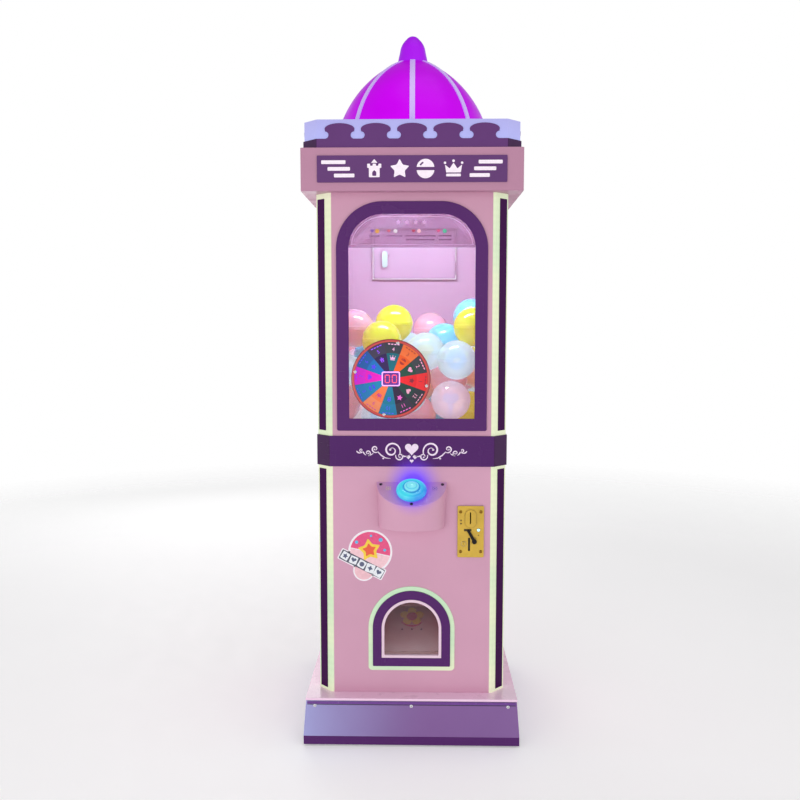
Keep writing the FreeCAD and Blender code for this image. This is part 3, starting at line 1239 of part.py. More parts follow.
# ---- Nodes ---------------------------------------------------------------------------------
NODES = {
    "leveling_feet": levelling_feet,
    "base_frame": base_frame,
    "kick_strip": kick_strip,
    "skirt_front": skirt_front,
    "skirt_wrap": skirt_wrap,
    "plinth_tray": plinth_tray,
    "corner_posts": corner_posts,
    "corner_diffusers": corner_diffusers,
    "corner_inserts": corner_inserts,
    "front_lower_panel": front_lower_panel,
    "front_upper_panel": front_upper_panel,
    "left_panel": lambda: side_panel(-1),
    "right_panel": lambda: side_panel(1),
    "waist_band": waist_band,
    "rear_frame": rear_frame,
    "filling_hatch": lambda: pan_door(HATCH_OPENING, HATCH_HINGES),
    "service_door": lambda: pan_door(SERVICE_OPENING, SERVICE_HINGES),
    "hatch_lock": lambda: door_lock(HATCH_OPENING),
    "service_lock": lambda: door_lock(SERVICE_OPENING),
    "door_hinge_pins": door_hinge_pins,
    "window_bezel": window_bezel,
    "window_glass": window_glass,
    "instruction_plate": instruction_plate,
    "wheel_housing": wheel_housing,
    "wheel_face": wheel_face,
    "wheel_display": wheel_display,
    "chamber_lamp": chamber_lamp,
    "mech_deck": mech_deck,
    "carousel": carousel,
    "carousel_shaft": carousel_shaft,
    "gear_motor": gear_motor,
    "hopper_funnel": hopper_funnel,
    "drop_chute": drop_chute,
    "capsules": capsules,
    "prize_trim": prize_trim,
    "prize_light": prize_light,
    "prize_liner": prize_liner,
    "prize_box": prize_box,
    "prize_flap": prize_flap,
    "flap_rod": flap_rod,
    "console_housing": console_housing,
    "console_plate": console_plate,
    "button_bezel": button_bezel,
    "button_plunger": button_plunger,
    "button_switch": button_switch,
    "coin_plate": coin_plate,
    "coin_lever": coin_lever,
    "coin_validator": coin_validator,
    "coin_box": coin_box,
    "power_supply": power_supply,
    "control_board": control_board,
    "power_inlet": power_inlet,
    "header_shell": header_shell,
    "header_sign": header_sign,
    "crown_band": crown_band,
    "crown_lightbox": crown_lightbox,
    "dome_shell": dome_shell,
    "dome_ribs": dome_ribs,
    "dome_knob": dome_knob,
    "screws": screws,
}


def main():
    """Builds every node, moves it into the machine's frame and writes it."""
    os.makedirs("parts", exist_ok=True)
    for name, build in NODES.items():
        shape = build()
        shape.translate(V(0, ORIGIN_SHIFT, 0))
        shape.exportStep(f"parts/{name}.step")


main()
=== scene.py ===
"""Looks of the capsule toy machine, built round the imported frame.

Metres, +Z up, and the machine's front faces -Y.  CAD nodes whose shape is right stay and get a
procedural material and softened edges.  Prints, icons, capsules and small trims are pieces of
their own, placed from the frame's boxes.
"""
import math
import random

import bmesh
import bpy
import numpy as np
from mathutils import Matrix, Vector
from mathutils.bvhtree import BVHTree


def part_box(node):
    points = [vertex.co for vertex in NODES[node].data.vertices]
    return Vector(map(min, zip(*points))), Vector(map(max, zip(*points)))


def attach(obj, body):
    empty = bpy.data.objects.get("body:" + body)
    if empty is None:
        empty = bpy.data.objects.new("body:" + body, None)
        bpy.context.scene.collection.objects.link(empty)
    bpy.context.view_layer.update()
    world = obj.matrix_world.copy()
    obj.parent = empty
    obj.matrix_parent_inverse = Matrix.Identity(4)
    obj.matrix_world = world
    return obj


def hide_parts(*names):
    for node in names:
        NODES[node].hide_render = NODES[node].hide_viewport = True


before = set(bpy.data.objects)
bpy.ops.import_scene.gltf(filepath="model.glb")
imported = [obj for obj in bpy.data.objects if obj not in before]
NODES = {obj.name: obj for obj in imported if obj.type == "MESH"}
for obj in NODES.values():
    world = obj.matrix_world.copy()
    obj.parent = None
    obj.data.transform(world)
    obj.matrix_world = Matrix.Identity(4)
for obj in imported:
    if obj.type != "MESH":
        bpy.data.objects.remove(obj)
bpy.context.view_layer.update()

MM = 0.001


# ---- Camera, lights and stage ---------------------------------------------------------------
def make_camera():
    """Looks at the front from just right of the middle, slightly downwards."""
    data = bpy.data.cameras.new("camera")
    data.lens = 38.9
    data.sensor_width = 36.0
    pitch, yaw = 5.15, 1.2  # degrees below level, and to the left
    camera = bpy.data.objects.new("camera", data)
    camera.location = (0.0154, -2.3292, 1.053)
    camera.rotation_euler = (math.radians(90 - pitch), 0, math.radians(yaw))
    bpy.context.scene.collection.objects.link(camera)
    bpy.context.scene.camera = camera


def area_light(name, place, target, size, power, colour=(1, 1, 1), height=None):
    """Rectangular soft light that points at a target."""
    data = bpy.data.lights.new(name, "AREA")
    data.shape = "RECTANGLE"
    data.size = size
    data.size_y = height or size
    data.energy = power
    data.color = colour
    light = bpy.data.objects.new(name, data)
    light.location = place
    direction = Vector(target) - Vector(place)
    light.rotation_euler = direction.to_track_quat("-Z", "Y").to_euler()
    bpy.context.scene.collection.objects.link(light)


def make_world():
    """White all round at eye level, dimmer overhead, so that shapes keep some shading."""
    world = bpy.data.worlds.new("studio")
    bpy.context.scene.world = world
    world.use_nodes = True
    tree = world.node_tree
    tree.nodes.clear()
    direction = tree.nodes.new("ShaderNodeTexCoord")
    parts = tree.nodes.new("ShaderNodeSeparateXYZ")
    fade = tree.nodes.new("ShaderNodeMapRange")
    for name, value in {"From Min": 0.42, "From Max": 0.6, "To Min": 1.0, "To Max": 0.25}.items():
        fade.inputs[name].default_value = value
    background = tree.nodes.new("ShaderNodeBackground")
    background.inputs["Color"].default_value = (1, 1, 1, 1)
    output = tree.nodes.new("ShaderNodeOutputWorld")
    tree.links.new(direction.outputs["Generated"], parts.inputs[0])
    tree.links.new(parts.outputs["Z"], fade.inputs["Value"])
    tree.links.new(fade.outputs[0], background.inputs["Strength"])
    tree.links.new(background.outputs[0], output.inputs["Surface"])


def make_floor():
    """Pale floor that fades out far from the machine, so that it has no horizon."""
    inner, outer, rings, segments = 0.3, 6.0, 6, 64
    fade_start, fade_end = 1.9, 4.2
    mesh = bpy.data.meshes.new("floor")
    built = bmesh.new()
    previous = None
    for ring in range(rings):
        radius = inner * (outer / inner) ** (ring / (rings - 1))
        loop = [
            built.verts.new((radius * math.cos(a), radius * math.sin(a), 0))
            for a in (2 * math.pi * k / segments for k in range(segments))
        ]
        if previous:
            for k in range(segments):
                n = (k + 1) % segments
                built.faces.new((previous[k], loop[k], loop[n], previous[n]))
        else:
            built.faces.new(loop)
        previous = loop
    built.to_mesh(mesh)
    built.free()
    floor = bpy.data.objects.new("floor", mesh)
    bpy.context.scene.collection.objects.link(floor)
    g = Graph("floor_paint")
    radius = g.math("SQRT", g.math("ADD", g.math("MULTIPLY", g.x, g.x), g.math("MULTIPLY", g.y, g.y)))
    shade = g.mix(g.noise(3.0, 4), (0.93, 0.925, 0.935, 1), (0.96, 0.955, 0.96, 1))
    rough = g.drift(14.0, 3, 0.55, 0.7)
    solid = g.principled(
        shade, rough, None, Specular_IOR_Level=0.25, Emission_Color=shade, Emission_Strength=0.3)
    clear = g.add("BsdfTransparent", {})
    gone = g.range(radius, fade_start, fade_end, 0, 1)
    mixed = g.add("MixShader", {0: gone, 1: solid, 2: clear.outputs[0]})
    mesh.materials.append(g.finish(mixed.outputs[0]))


# ---- Material graphs ------------------------------------------------------------------------
def rgb(red, green, blue):
    """Linear colour from display values of 0 to 255."""
    def linear(value):
        share = value / 255
        return share / 12.92 if share <= 0.04045 else ((share + 0.055) / 1.055) ** 2.4

    return linear(red), linear(green), linear(blue), 1.0


def scaled(colour, factor):
    """A colour made lighter or darker."""
    return tuple(min(1.0, part * factor) for part in colour[:3]) + (1.0,)


class Graph:
    """Builds one material's nodes from short calls; coordinates are the row frame's, in metres."""

    def __init__(self, name):
        self.material = bpy.data.materials.new(name)
        self.material.use_nodes = True
        self.tree = self.material.node_tree
        self.tree.nodes.clear()
        self.place = self.add("TexCoord", {}).outputs["Object"]
        parts = self.add("SeparateXYZ", {0: self.place})
        self.x, self.y, self.z = parts.outputs

    def add(self, kind, inputs, **settings):
        """A node with its settings, and its inputs linked or given a value."""
        node = self.tree.nodes.new("ShaderNode" + kind)
        for key, value in settings.items():
            setattr(node, key, value)
        for key, value in inputs.items():
            if isinstance(value, bpy.types.NodeSocket):
                self.tree.links.new(value, node.inputs[key])
            else:
                node.inputs[key].default_value = value
        return node

    def math(self, operation, a, b=0.0, clamp=False):
        return self.add("Math", {0: a, 1: b}, operation=operation, use_clamp=clamp).outputs[0]

    def range(self, value, low, high, to_low, to_high):
        inputs = {"Value": value, "From Min": low, "From Max": high, "To Min": to_low, "To Max": to_high}
        return self.add("MapRange", inputs).outputs[0]

    def mix(self, share, a, b, blend="MIX"):
        node = self.add("Mix", {}, data_type="RGBA", blend_type=blend)
        for index, value in ((0, share), (6, a), (7, b)):
            if isinstance(value, bpy.types.NodeSocket):
                self.tree.links.new(value, node.inputs[index])
            else:
                node.inputs[index].default_value = value
        return node.outputs[2]

    def reach(self, centre):
        """Distance from a point, as seen from the front."""
        across = self.math("SUBTRACT", self.x, centre.x)
        up = self.math("SUBTRACT", self.z, centre.z)
        squares = self.math("ADD", self.math("MULTIPLY", across, across), self.math("MULTIPLY", up, up))
        return self.math("SQRT", squares)

    def from_axis(self, point, direction):
        """Distance from the line through a point in a direction."""
        offset = self.add("VectorMath", {0: self.place, 1: point}, operation="SUBTRACT").outputs[0]
        crossed = self.add("VectorMath", {0: offset, 1: direction}, operation="CROSS_PRODUCT").outputs[0]
        return self.add("VectorMath", {0: crossed}, operation="LENGTH").outputs["Value"]

    def within(self, low, high):
        """1 inside a box and 0 outside it."""
        share = 1.0
        for value, least, most in zip((self.x, self.y, self.z), low, high):
            share = self.math("MULTIPLY", share, self.math("GREATER_THAN", value, least))
            share = self.math("MULTIPLY", share, self.math("LESS_THAN", value, most))
        return share

    def noise(self, scale, detail=2.0, stretch=None, distortion=0.0):
        vector = self.place
        if stretch:
            vector = self.add("Mapping", {"Vector": self.place, "Scale": stretch}).outputs[0]
        inputs = {"Vector": vector, "Scale": scale, "Detail": detail, "Distortion": distortion}
        return self.add("TexNoise", inputs).outputs[0]

    def drift(self, scale, detail, low, high):
        """Noise spread between two values, most of it away from both ends."""
        return self.range(self.noise(scale, detail), 0.3, 0.7, low, high)

    def ramp(self, value, stops):
        """Colour along (position, colour) stops."""
        node = self.add("ValToRGB", {0: value})
        elements = node.color_ramp.elements
        while len(elements) < len(stops):
            elements.new(0.5)
        for element, (position, colour) in zip(elements, stops):
            element.position = position
            element.color = colour
        return node.outputs[0]

    def bump(self, height, distance, normal=None):
        inputs = {"Height": height, "Distance": distance}
        if normal:
            inputs["Normal"] = normal
        return self.add("Bump", inputs).outputs[0]

    def creases(self, distance, local=True):
        """0 in the open and 1 deep in a corner, of this node alone or of everything near it."""
        node = self.add("AmbientOcclusion", {"Distance": distance}, samples=4, only_local=local)
        return self.math("SUBTRACT", 1.0, node.outputs["AO"])

    def crease_shaded(self, base, distance, share, colour):
        """The base colour, darkened towards a colour in the creases: painted shade."""
        return self.mix(self.math("MULTIPLY", self.creases(distance), share), base, colour)

    def principled(self, colour, roughness, normal, **more):
        inputs = {"Base Color": colour, "Roughness": roughness}
        if normal:
            inputs["Normal"] = normal
        inputs.update({key.replace("_", " "): value for key, value in more.items()})
        return self.add("BsdfPrincipled", inputs).outputs[0]

    def surface(self, colour, roughness, normal, **more):
        """The finished material, made of one principled shader."""
        return self.finish(self.principled(colour, roughness, normal, **more))

    def finish(self, shader):
        output = self.add("OutputMaterial", {0: shader})
        output.is_active_output = True
        return self.material


ORANGE_PEEL = 0.05 * MM  # height of the texture of powder paint


def painted(name, colour, rough=0.42, coat=0.0, painted_button_light=False):
    """Powder-coated steel: faint clouds of colour, orange peel, and painted shade in the creases."""
    g = Graph(name)
    clouds = g.drift(3.2, 4, 0, 1)
    base = g.mix(clouds, scaled(colour, 0.95), scaled(colour, 1.05))
    specks = g.range(g.noise(2600, 1), 0.62, 0.78, 0, 0.35)
    base = g.mix(specks, base, scaled(colour, 1.25))
    base = g.crease_shaded(base, 0.010, 0.45, scaled(colour, 0.45))
    smear = g.range(g.noise(22, 3, (1, 1, 0.35)), 0.3, 0.7, -0.06, 0.08)
    fine = g.drift(900, 2, -0.03, 0.03)
    roughness = g.math("ADD", g.math("ADD", smear, fine), rough, clamp=True)
    normal = g.bump(g.noise(430, 2), ORANGE_PEEL)
    more = {}
    # painted light: the button's violet glow on this paint
    if painted_button_light:
        base, more = painted_button_glow(g, base)
    return g.surface(base, roughness, normal, Coat_Weight=coat, Coat_Roughness=0.12, **more)


def painted_button_glow(g, base):
    """Painted light: base colour and violet glow round the button, as its light would fall, by distance in
    the front view and so at any depth.
    """
    lamp = middle("button_bezel") + Vector((4, 0, 11)) * MM
    full, gone = 20 * MM, 76 * MM
    share = g.math("POWER", g.range(g.reach(lamp), full, gone, 1, 0), 1.7)
    base = g.mix(g.math("MULTIPLY", share, 0.9), base, rgb(70, 24, 128))
    return base, {"Emission_Color": rgb(100, 50, 255), "Emission_Strength": g.math("MULTIPLY", share, 0.85)}


def shaded_chamfers(g, name, base, colour):
    """Painted shade: the base colour, darkened on the four corner faces of a node's outline."""
    centre = middle(name)
    reach = max(abs(v.co.x - centre.x) + abs(v.co.y - centre.y) for v in NODES[name].data.vertices)
    across = g.math("ABSOLUTE", g.math("SUBTRACT", g.x, centre.x))
    along = g.math("ABSOLUTE", g.math("SUBTRACT", g.y, centre.y))
    edge = g.range(g.math("ADD", across, along), reach - 1.6 * MM, reach - 0.6 * MM, 0, 1)
    return g.mix(edge, base, colour)


def lacquered(name, colour, rough=0.2, specular=0.22, corners=None, painted_button_light=False):
    """Glossy plastic or acrylic: slow waves, fine scratches and painted shade in the creases."""
    g = Graph(name)
    clouds = g.drift(4.5, 3, 0, 1)
    base = g.mix(clouds, scaled(colour, 0.96), scaled(colour, 1.04))
    base = g.crease_shaded(base, 0.008, 0.4, scaled(colour, 0.4))
    lines = g.range(g.noise(24, 2, (1.0, 1.0, 26.0), 0.6), 0.66, 0.72, 0, 0.1)
    cross = g.range(g.noise(20, 2, (30.0, 1.0, 1.0), 0.8), 0.68, 0.74, 0, 0.1)
    smudge = g.range(g.noise(17, 4), 0.35, 0.75, -0.03, 0.1)
    marks = g.math("ADD", g.math("ADD", lines, cross), smudge)
    roughness = g.math("ADD", marks, rough, clamp=True)
    normal = g.bump(g.noise(11, 2), 0.0003)
    normal = g.bump(g.noise(700, 1), 0.00001, normal=normal)
    more = {}
    # painted shade on the corner faces of the named node
    if corners:
        base = shaded_chamfers(g, corners, base, rgb(60, 10, 72))
    # painted light: the button's violet glow on this plastic
    if painted_button_light:
        base, more = painted_button_glow(g, base)
    return g.surface(base, roughness, normal, Specular_IOR_Level=specular, **more)


def metal(name, colour, rough=0.32, grain=(1.0, 1.0, 60.0), grain_scale=40.0):
    """Metal with a drawn grain, faint stains and uneven polish."""
    g = Graph(name)
    lines = g.noise(grain_scale, 3, grain)
    stains = g.range(g.noise(60, 4), 0.45, 0.75, 0, 0.35)
    base = g.mix(g.range(lines, 0.3, 0.7, 0, 1), scaled(colour, 0.9), scaled(colour, 1.08))
    base = g.mix(stains, base, scaled(colour, 0.72))
    roughness = g.math("ADD", g.range(lines, 0.2, 0.8, -0.08, 0.12), rough, clamp=True)
    return g.surface(base, roughness, g.bump(lines, 0.00002), Metallic=1.0)


def moulded(name, colour, rough=0.5, **more):
    """Matt moulded plastic with a fine spark-eroded grain, and painted shade in the creases."""
    g = Graph(name)
    base = g.mix(g.noise(35, 4), scaled(colour, 0.94), scaled(colour, 1.06))
    base = g.crease_shaded(base, 0.006, 0.5, scaled(colour, 0.4))
    roughness = g.range(g.noise(120, 3), 0.25, 0.75, rough - 0.07, rough + 0.09)
    normal = g.bump(g.noise(1500, 2), 0.00003)
    return g.surface(base, roughness, normal, **more)


def edge_glow(name, strength):
    """Frosted strip lit from behind: diodes show faintly, and the tint drifts along its length."""
    g = Graph(name)
    drift = g.noise(1.0, 2, (2.0, 2.0, 3.4))
    tint = g.ramp(drift, [(0.32, rgb(206, 238, 202)), (0.5, rgb(238, 246, 208)), (0.68, rgb(250, 248, 220))])
    diodes = g.math("SINE", g.math("MULTIPLY", g.z, 2 * math.pi / (16.6 * MM)))
    level = g.math("MULTIPLY", g.range(diodes, -1, 1, 0.965, 1.03), strength)
    level = g.math("MULTIPLY", level, g.drift(6, 3, 0.9, 1.05))
    frost = g.bump(g.noise(1200, 1), 0.00003)
    return g.surface(
        g.mix(0.45, tint, (0.05, 0.05, 0.04, 1)), 0.5, frost, Specular_IOR_Level=0.2,
        Emission_Color=tint, Emission_Strength=level)


def crown_glow():
    """Opal box with cold violet-blue light inside, brighter near its foot."""
    g = Graph("crown_glow")
    low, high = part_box("crown_lightbox")
    rise = g.range(g.z, low.z, high.z, 0, 1)
    tint = g.mix(rise, rgb(170, 184, 255), rgb(186, 178, 250))
    tint = g.mix(g.range(g.noise(5, 3), 0.35, 0.7, 0, 0.35), tint, rgb(150, 160, 250))
    normal = g.bump(g.noise(900, 1), 0.00002)
    return g.surface(
        scaled(rgb(190, 190, 245), 0.55), 0.25, normal,
        Emission_Color=tint, Emission_Strength=g.range(rise, 0, 1, 0.5, 0.36))


def dome_glow(name, deep, bright, level):
    """Saturated translucent plastic lit from inside: hotter facing out, deeper at grazing angles."""
    g = Graph(name)
    facing = g.add("LayerWeight", {"Blend": 0.32}).outputs["Facing"]
    tint = g.mix(g.range(facing, 0.1, 0.95, 0, 1), bright, deep)
    clouds = g.range(g.noise(9, 3), 0.35, 0.7, 0, 0.18)
    tint = g.mix(clouds, tint, deep)
    roughness = g.drift(30, 3, 0.3, 0.4)
    normal = g.bump(g.noise(16, 2), 0.0004)
    return g.surface(
        scaled(bright, 0.1), roughness, normal, Specular_IOR_Level=0.06,
        Emission_Color=tint, Emission_Strength=level)


def clear_sheet(name, tint, body, rough=0.04, mirror=0.9, glow=0.0):
    """Clear sheet: lets light straight through, with a skin that reflects and a little haze, to which glow
    gives painted light.
    """
    g = Graph(name)
    smears = g.range(g.noise(7, 5), 0.45, 0.8, 0, 1)
    clear = g.add("BsdfTransparent", {"Color": tint}).outputs[0]
    haze_colour = g.mix(smears, scaled(body, 0.96), scaled(body, 1.0))
    haze = g.principled(
        haze_colour, 0.35, None, Specular_IOR_Level=0.2, Emission_Color=haze_colour, Emission_Strength=glow)
    haze_share = g.range(smears, 0, 1, body[3], body[3] + 0.03)
    layer = g.add("MixShader", {0: haze_share, 1: clear, 2: haze}).outputs[0]
    roughness = g.range(smears, 0, 1, rough, rough + 0.05)
    normal = g.bump(g.noise(2.2, 1), 0.0006)
    gloss = g.add("BsdfGlossy", {"Color": (1, 1, 1, 1), "Roughness": roughness, "Normal": normal})
    fresnel = g.add("Fresnel", {"IOR": 1.46}).outputs[0]
    share = g.math("MULTIPLY", fresnel, mirror, clamp=True)
    return g.finish(g.add("MixShader", {0: share, 1: layer, 2: gloss.outputs[0]}).outputs[0])


def with_alpha(colour, alpha):
    """A colour with the share of the sheet that it fills."""
    return colour[:3] + (alpha,)


# ---- Outlines, in millimetres ---------------------------------------------------------------
def circle(u, v, radius, points=40):
    return [
        (u + radius * math.cos(2 * math.pi * k / points), v + radius * math.sin(2 * math.pi * k / points))
        for k in range(points)
    ]


def star(u, v, radius, tips=5, waist=0.5, turn=90.0):
    """Chubby star."""
    loop = []
    for k in range(2 * tips):
        reach = radius if k % 2 == 0 else radius * waist
        angle = math.radians(turn + 180 * k / tips)
        loop.append((u + reach * math.cos(angle), v + reach * math.sin(angle)))
    return rounded(loop, radius * 0.14)


def heart(u, v, width):
    """Full heart about its middle."""
    loop = []
    for k in range(48):
        t = 2 * math.pi * k / 48
        across = math.sin(t) ** 3
        up = (13 * math.cos(t) - 5 * math.cos(2 * t) - 2 * math.cos(3 * t) - math.cos(4 * t)) / 16
        loop.append((u + across * width / 2, v + (up + 0.12) * width / 2))
    return loop


def rounded(loop, radius, steps=5):
    """The loop with each corner turned into an arc."""
    result = []
    for index, corner in enumerate(loop):
        here = Vector(corner)
        before = Vector(loop[index - 1]) - here
        after = Vector(loop[(index + 1) % len(loop)]) - here
        reach = min(radius, before.length * 0.45, after.length * 0.45)
        start = here + before.normalized() * reach
        end = here + after.normalized() * reach
        for k in range(steps + 1):
            t = k / steps
            point = start * (1 - t) ** 2 + here * 2 * t * (1 - t) + end * t ** 2
            result.append(tuple(point))
    return result


def moved(loops, u, v, scale=1.0):
    """Loops drawn about the origin, scaled and moved to (u, v)."""
    return [[(u + pu * scale, v + pv * scale) for pu, pv in loop] for loop in loops]


def bar(u0, u1, v0, v1, radius):
    """Rounded bar."""
    return rounded([(u0, v0), (u1, v0), (u1, v1), (u0, v1)], radius)


def stroke(points, widths):
    """Outline of a brush stroke of changing width along points."""
    left, right = [], []
    for index, point in enumerate(points):
        here = Vector(point)
        ahead = Vector(points[min(index + 1, len(points) - 1)])
        behind = Vector(points[max(index - 1, 0)])
        along = (ahead - behind).normalized()
        side = Vector((-along.y, along.x)) * widths[index] / 2
        left.append(tuple(here + side))
        right.append(tuple(here - side))
    return left + right[::-1]


def curl(u, v, outer, inner, start, turn, width, mirror=1):
    """Spiral stroke that winds in to a drop; mirror -1 gives the left-hand copy."""
    count = 56
    thin = 0.35  # width of its outer end, as a share of the full width
    points, widths = [], []
    for k in range(count + 1):
        t = k / count
        radius = outer + (inner - outer) * t ** 0.8
        angle = math.radians(start + turn * t)
        points.append((mirror * (u + radius * math.cos(angle)), v + radius * math.sin(angle)))
        swell = math.sin(math.pi * min(1.0, t * 1.15 + 0.08)) ** 0.7
        widths.append(width * (thin + (1 - thin) * swell))
    return [stroke(points, widths), circle(*points[-1], width * 0.62, 20)]


def turned_by(loop, angle, u, v):
    """A loop drawn about the origin, turned and moved to (u, v)."""
    c, s = math.cos(math.radians(angle)), math.sin(math.radians(angle))
    return [(u + pu * c - pv * s, v + pu * s + pv * c) for pu, pv in loop]


# ---- Meshes ---------------------------------------------------------------------------------
def sheet_mesh(loops, thickness, bevel=0.0):
    """Plate cut to the outlines, holes included, with its back on z = 0 (sizes in mm)."""
    curve = bpy.data.curves.new("outline", "CURVE")
    curve.dimensions = "2D"
    curve.fill_mode = "BOTH"
    curve.extrude = (thickness / 2 - bevel) * MM
    curve.bevel_depth = bevel * MM
    curve.bevel_resolution = 2
    curve.offset = -bevel * MM
    for loop in loops:
        spline = curve.splines.new("POLY")
        spline.points.add(len(loop) - 1)
        for point, (u, v) in zip(spline.points, loop):
            point.co = (u * MM, v * MM, 0, 1)
        spline.use_cyclic_u = True
    carrier = bpy.data.objects.new("outline", curve)
    mesh = bpy.data.meshes.new_from_object(carrier)
    bpy.data.objects.remove(carrier)
    bpy.data.curves.remove(curve)
    mesh.transform(Matrix.Translation((0, 0, thickness / 2 * MM)))
    return mesh


def numeral_mesh(text, size):
    """Raised figures, centred on the origin."""
    thickness = 0.25
    curve = bpy.data.curves.new("figures", "FONT")
    curve.body = text
    curve.size = size * MM
    curve.align_x = "CENTER"
    curve.align_y = "CENTER"
    curve.extrude = thickness / 2 * MM
    curve.resolution_u = 3
    carrier = bpy.data.objects.new("figures", curve)
    mesh = bpy.data.meshes.new_from_object(carrier)
    bpy.data.objects.remove(carrier)
    bpy.data.curves.remove(curve)
    mesh.transform(Matrix.Translation((0, 0, thickness / 2 * MM)))
    return mesh


def lathe_mesh(profile, segments=64):
    """Surface of revolution about Z from (radius, height) points in millimetres."""
    built = bmesh.new()
    rings = []
    for radius, height in profile:
        if radius < 1e-6:
            rings.append([built.verts.new((0, 0, height * MM))])
            continue
        rings.append([
            built.verts.new((
                radius * MM * math.cos(2 * math.pi * k / segments),
                radius * MM * math.sin(2 * math.pi * k / segments), height * MM))
            for k in range(segments)
        ])
    for lower, upper in zip(rings, rings[1:]):
        for k in range(segments):
            n = (k + 1) % segments
            corners = [
                lower[k % len(lower)], lower[n % len(lower)], upper[n % len(upper)], upper[k % len(upper)]]
            unique = list(dict.fromkeys(corners))
            if len(unique) > 2:
                built.faces.new(unique)
    bmesh.ops.recalc_face_normals(built, faces=built.faces)
    mesh = bpy.data.meshes.new("lathe")
    built.to_mesh(mesh)
    built.free()
    return mesh


def arc_points(u, v, radius, start, end, steps):
    """Points along an arc, in degrees."""
    return [
        (u + radius * math.cos(math.radians(start + (end - start) * k / steps)),
         v + radius * math.sin(math.radians(start + (end - start) * k / steps)))
        for k in range(steps + 1)
    ]


def facing_front(x, y, z, spin=0.0):
    """Stands a plate drawn in XY up at a place, facing -Y, turned by spin in its own plane."""
    return (
        Matrix.Translation((x, y, z)) @ Matrix.Rotation(math.radians(90), 4, "X")
        @ Matrix.Rotation(math.radians(spin), 4, "Z")
    )


def placed(mesh, matrix):
    mesh.transform(matrix)
    return mesh


def flat_part(loops, thickness, here, material, bevel=0.0):
    """Part of a piece: a plate cut to the outlines and set in place, with its material."""
    return placed(sheet_mesh(loops, thickness, bevel), here), material


def piece(name, parts, body="cabinet", sharp=35.0):
    """One piece made from (mesh, material) parts, riding on a body of the frame."""
    whole = bmesh.new()
    materials = []
    for mesh, material in parts:
        if material not in materials:
            materials.append(material)
        first = len(whole.faces)
        whole.from_mesh(mesh)
        whole.faces.ensure_lookup_table()
        for face in whole.faces[first:]:
            face.material_index = materials.index(material)
            face.smooth = True
        bpy.data.meshes.remove(mesh)
    data = bpy.data.meshes.new(name)
    whole.to_mesh(data)
    whole.free()
    data.set_sharp_from_angle(angle=math.radians(sharp))
    for material in materials:
        data.materials.append(material)
    made = bpy.data.objects.new(name, data)
    bpy.context.scene.collection.objects.link(made)
    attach(made, body)
    return made


def dress(material, *names):
    """Gives CAD nodes a material through their objects' own slots."""
    for name in names:
        for slot in NODES[name].material_slots:
            slot.link = "OBJECT"
            slot.material = material


def soften(width, *names):
    """Rounds the sharp edges of CAD nodes, as folded and moulded edges are."""
    flat, sharp = 0.6, 28.0  # degrees between faces that are merged, and between faces that get an edge
    for name in names:
        weld = NODES[name].modifiers.new("weld", "WELD")
        weld.merge_threshold = 1e-6
        flatten = NODES[name].modifiers.new("flatten", "DECIMATE")
        flatten.decimate_type = "DISSOLVE"
        flatten.angle_limit = math.radians(flat)
        bevel = NODES[name].modifiers.new("edges", "BEVEL")
        bevel.width = width * MM
        bevel.segments = 2
        bevel.limit_method = "ANGLE"
        bevel.angle_limit = math.radians(sharp)
        bevel.harden_normals = False
        normals = NODES[name].modifiers.new("normals", "WEIGHTED_NORMAL")
        normals.keep_sharp = False


def middle(name):
    """Centre of a node's box."""
    low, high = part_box(name)
    return (low + high) / 2


# ---- Materials on the CAD nodes ---------------------------------------------------------------
PINK = rgb(214, 160, 186)
PURPLE = rgb(84, 34, 104)


def dress_cabinet():
    pink = painted("pink_paint", PINK)
    dress(pink, "left_panel", "right_panel", "rear_frame", "filling_hatch", "service_door", "corner_posts")
    # painted shade: darker copies of the pink on the upper front panel and the header, where less light falls
    dress(painted("upper_pink_painted_shade", rgb(206, 152, 178)), "front_upper_panel")
    dress(painted("header_pink_painted_shade", rgb(186, 132, 160)), "header_shell")
    # front_pink, plate_pink and band_purple carry painted light: the button's violet glow
    dress(painted("front_pink", PINK, painted_button_light=True), "front_lower_panel", "console_housing")
    # painted highlight: the tray is a lighter copy of the pink, for the light on its lip
    dress(painted("tray_pink_painted_highlight", rgb(255, 214, 240), rough=0.3, coat=0.4), "plinth_tray")
    dress(painted("plate_pink", rgb(204, 152, 198), rough=0.34, painted_button_light=True), "console_plate")
    dress(lacquered("purple_trim", PURPLE), "window_bezel", "prize_trim", "kick_strip")
    # band_purple and crown_purple are darker on their corner faces: painted shade
    dress(lacquered("band_purple", rgb(78, 28, 100), corners="waist_band", painted_button_light=True), "waist_band")
    dress(lacquered("sign_purple", rgb(100, 58, 116), rough=0.34), "header_sign")
    dress(lacquered("crown_purple", rgb(98, 54, 116), rough=0.4, corners="crown_band"), "crown_band")
    dress(lacquered("insert_purple", rgb(62, 8, 72), rough=0.2, specular=0.06), "corner_inserts")
    dress(lacquered("skirt_purple", rgb(132, 92, 154), rough=0.12, specular=0.4), "skirt_wrap")
    # painted reflection on the front skirt
    dress(skirt_painted_reflection("skirt_painted_reflection"), "skirt_front")
    dress(edge_glow("edge_light", 0.42), "corner_diffusers")
    dress(edge_glow("prize_glow", 0.40), "prize_light")
    dress(painted("frame_steel", rgb(58, 54, 62), rough=0.5), "base_frame")
    dress(pocket_paint("pocket_paint"), "prize_box", "drop_chute")
    dress(lacquered("liner_white", rgb(240, 212, 228), rough=0.24), "prize_liner")


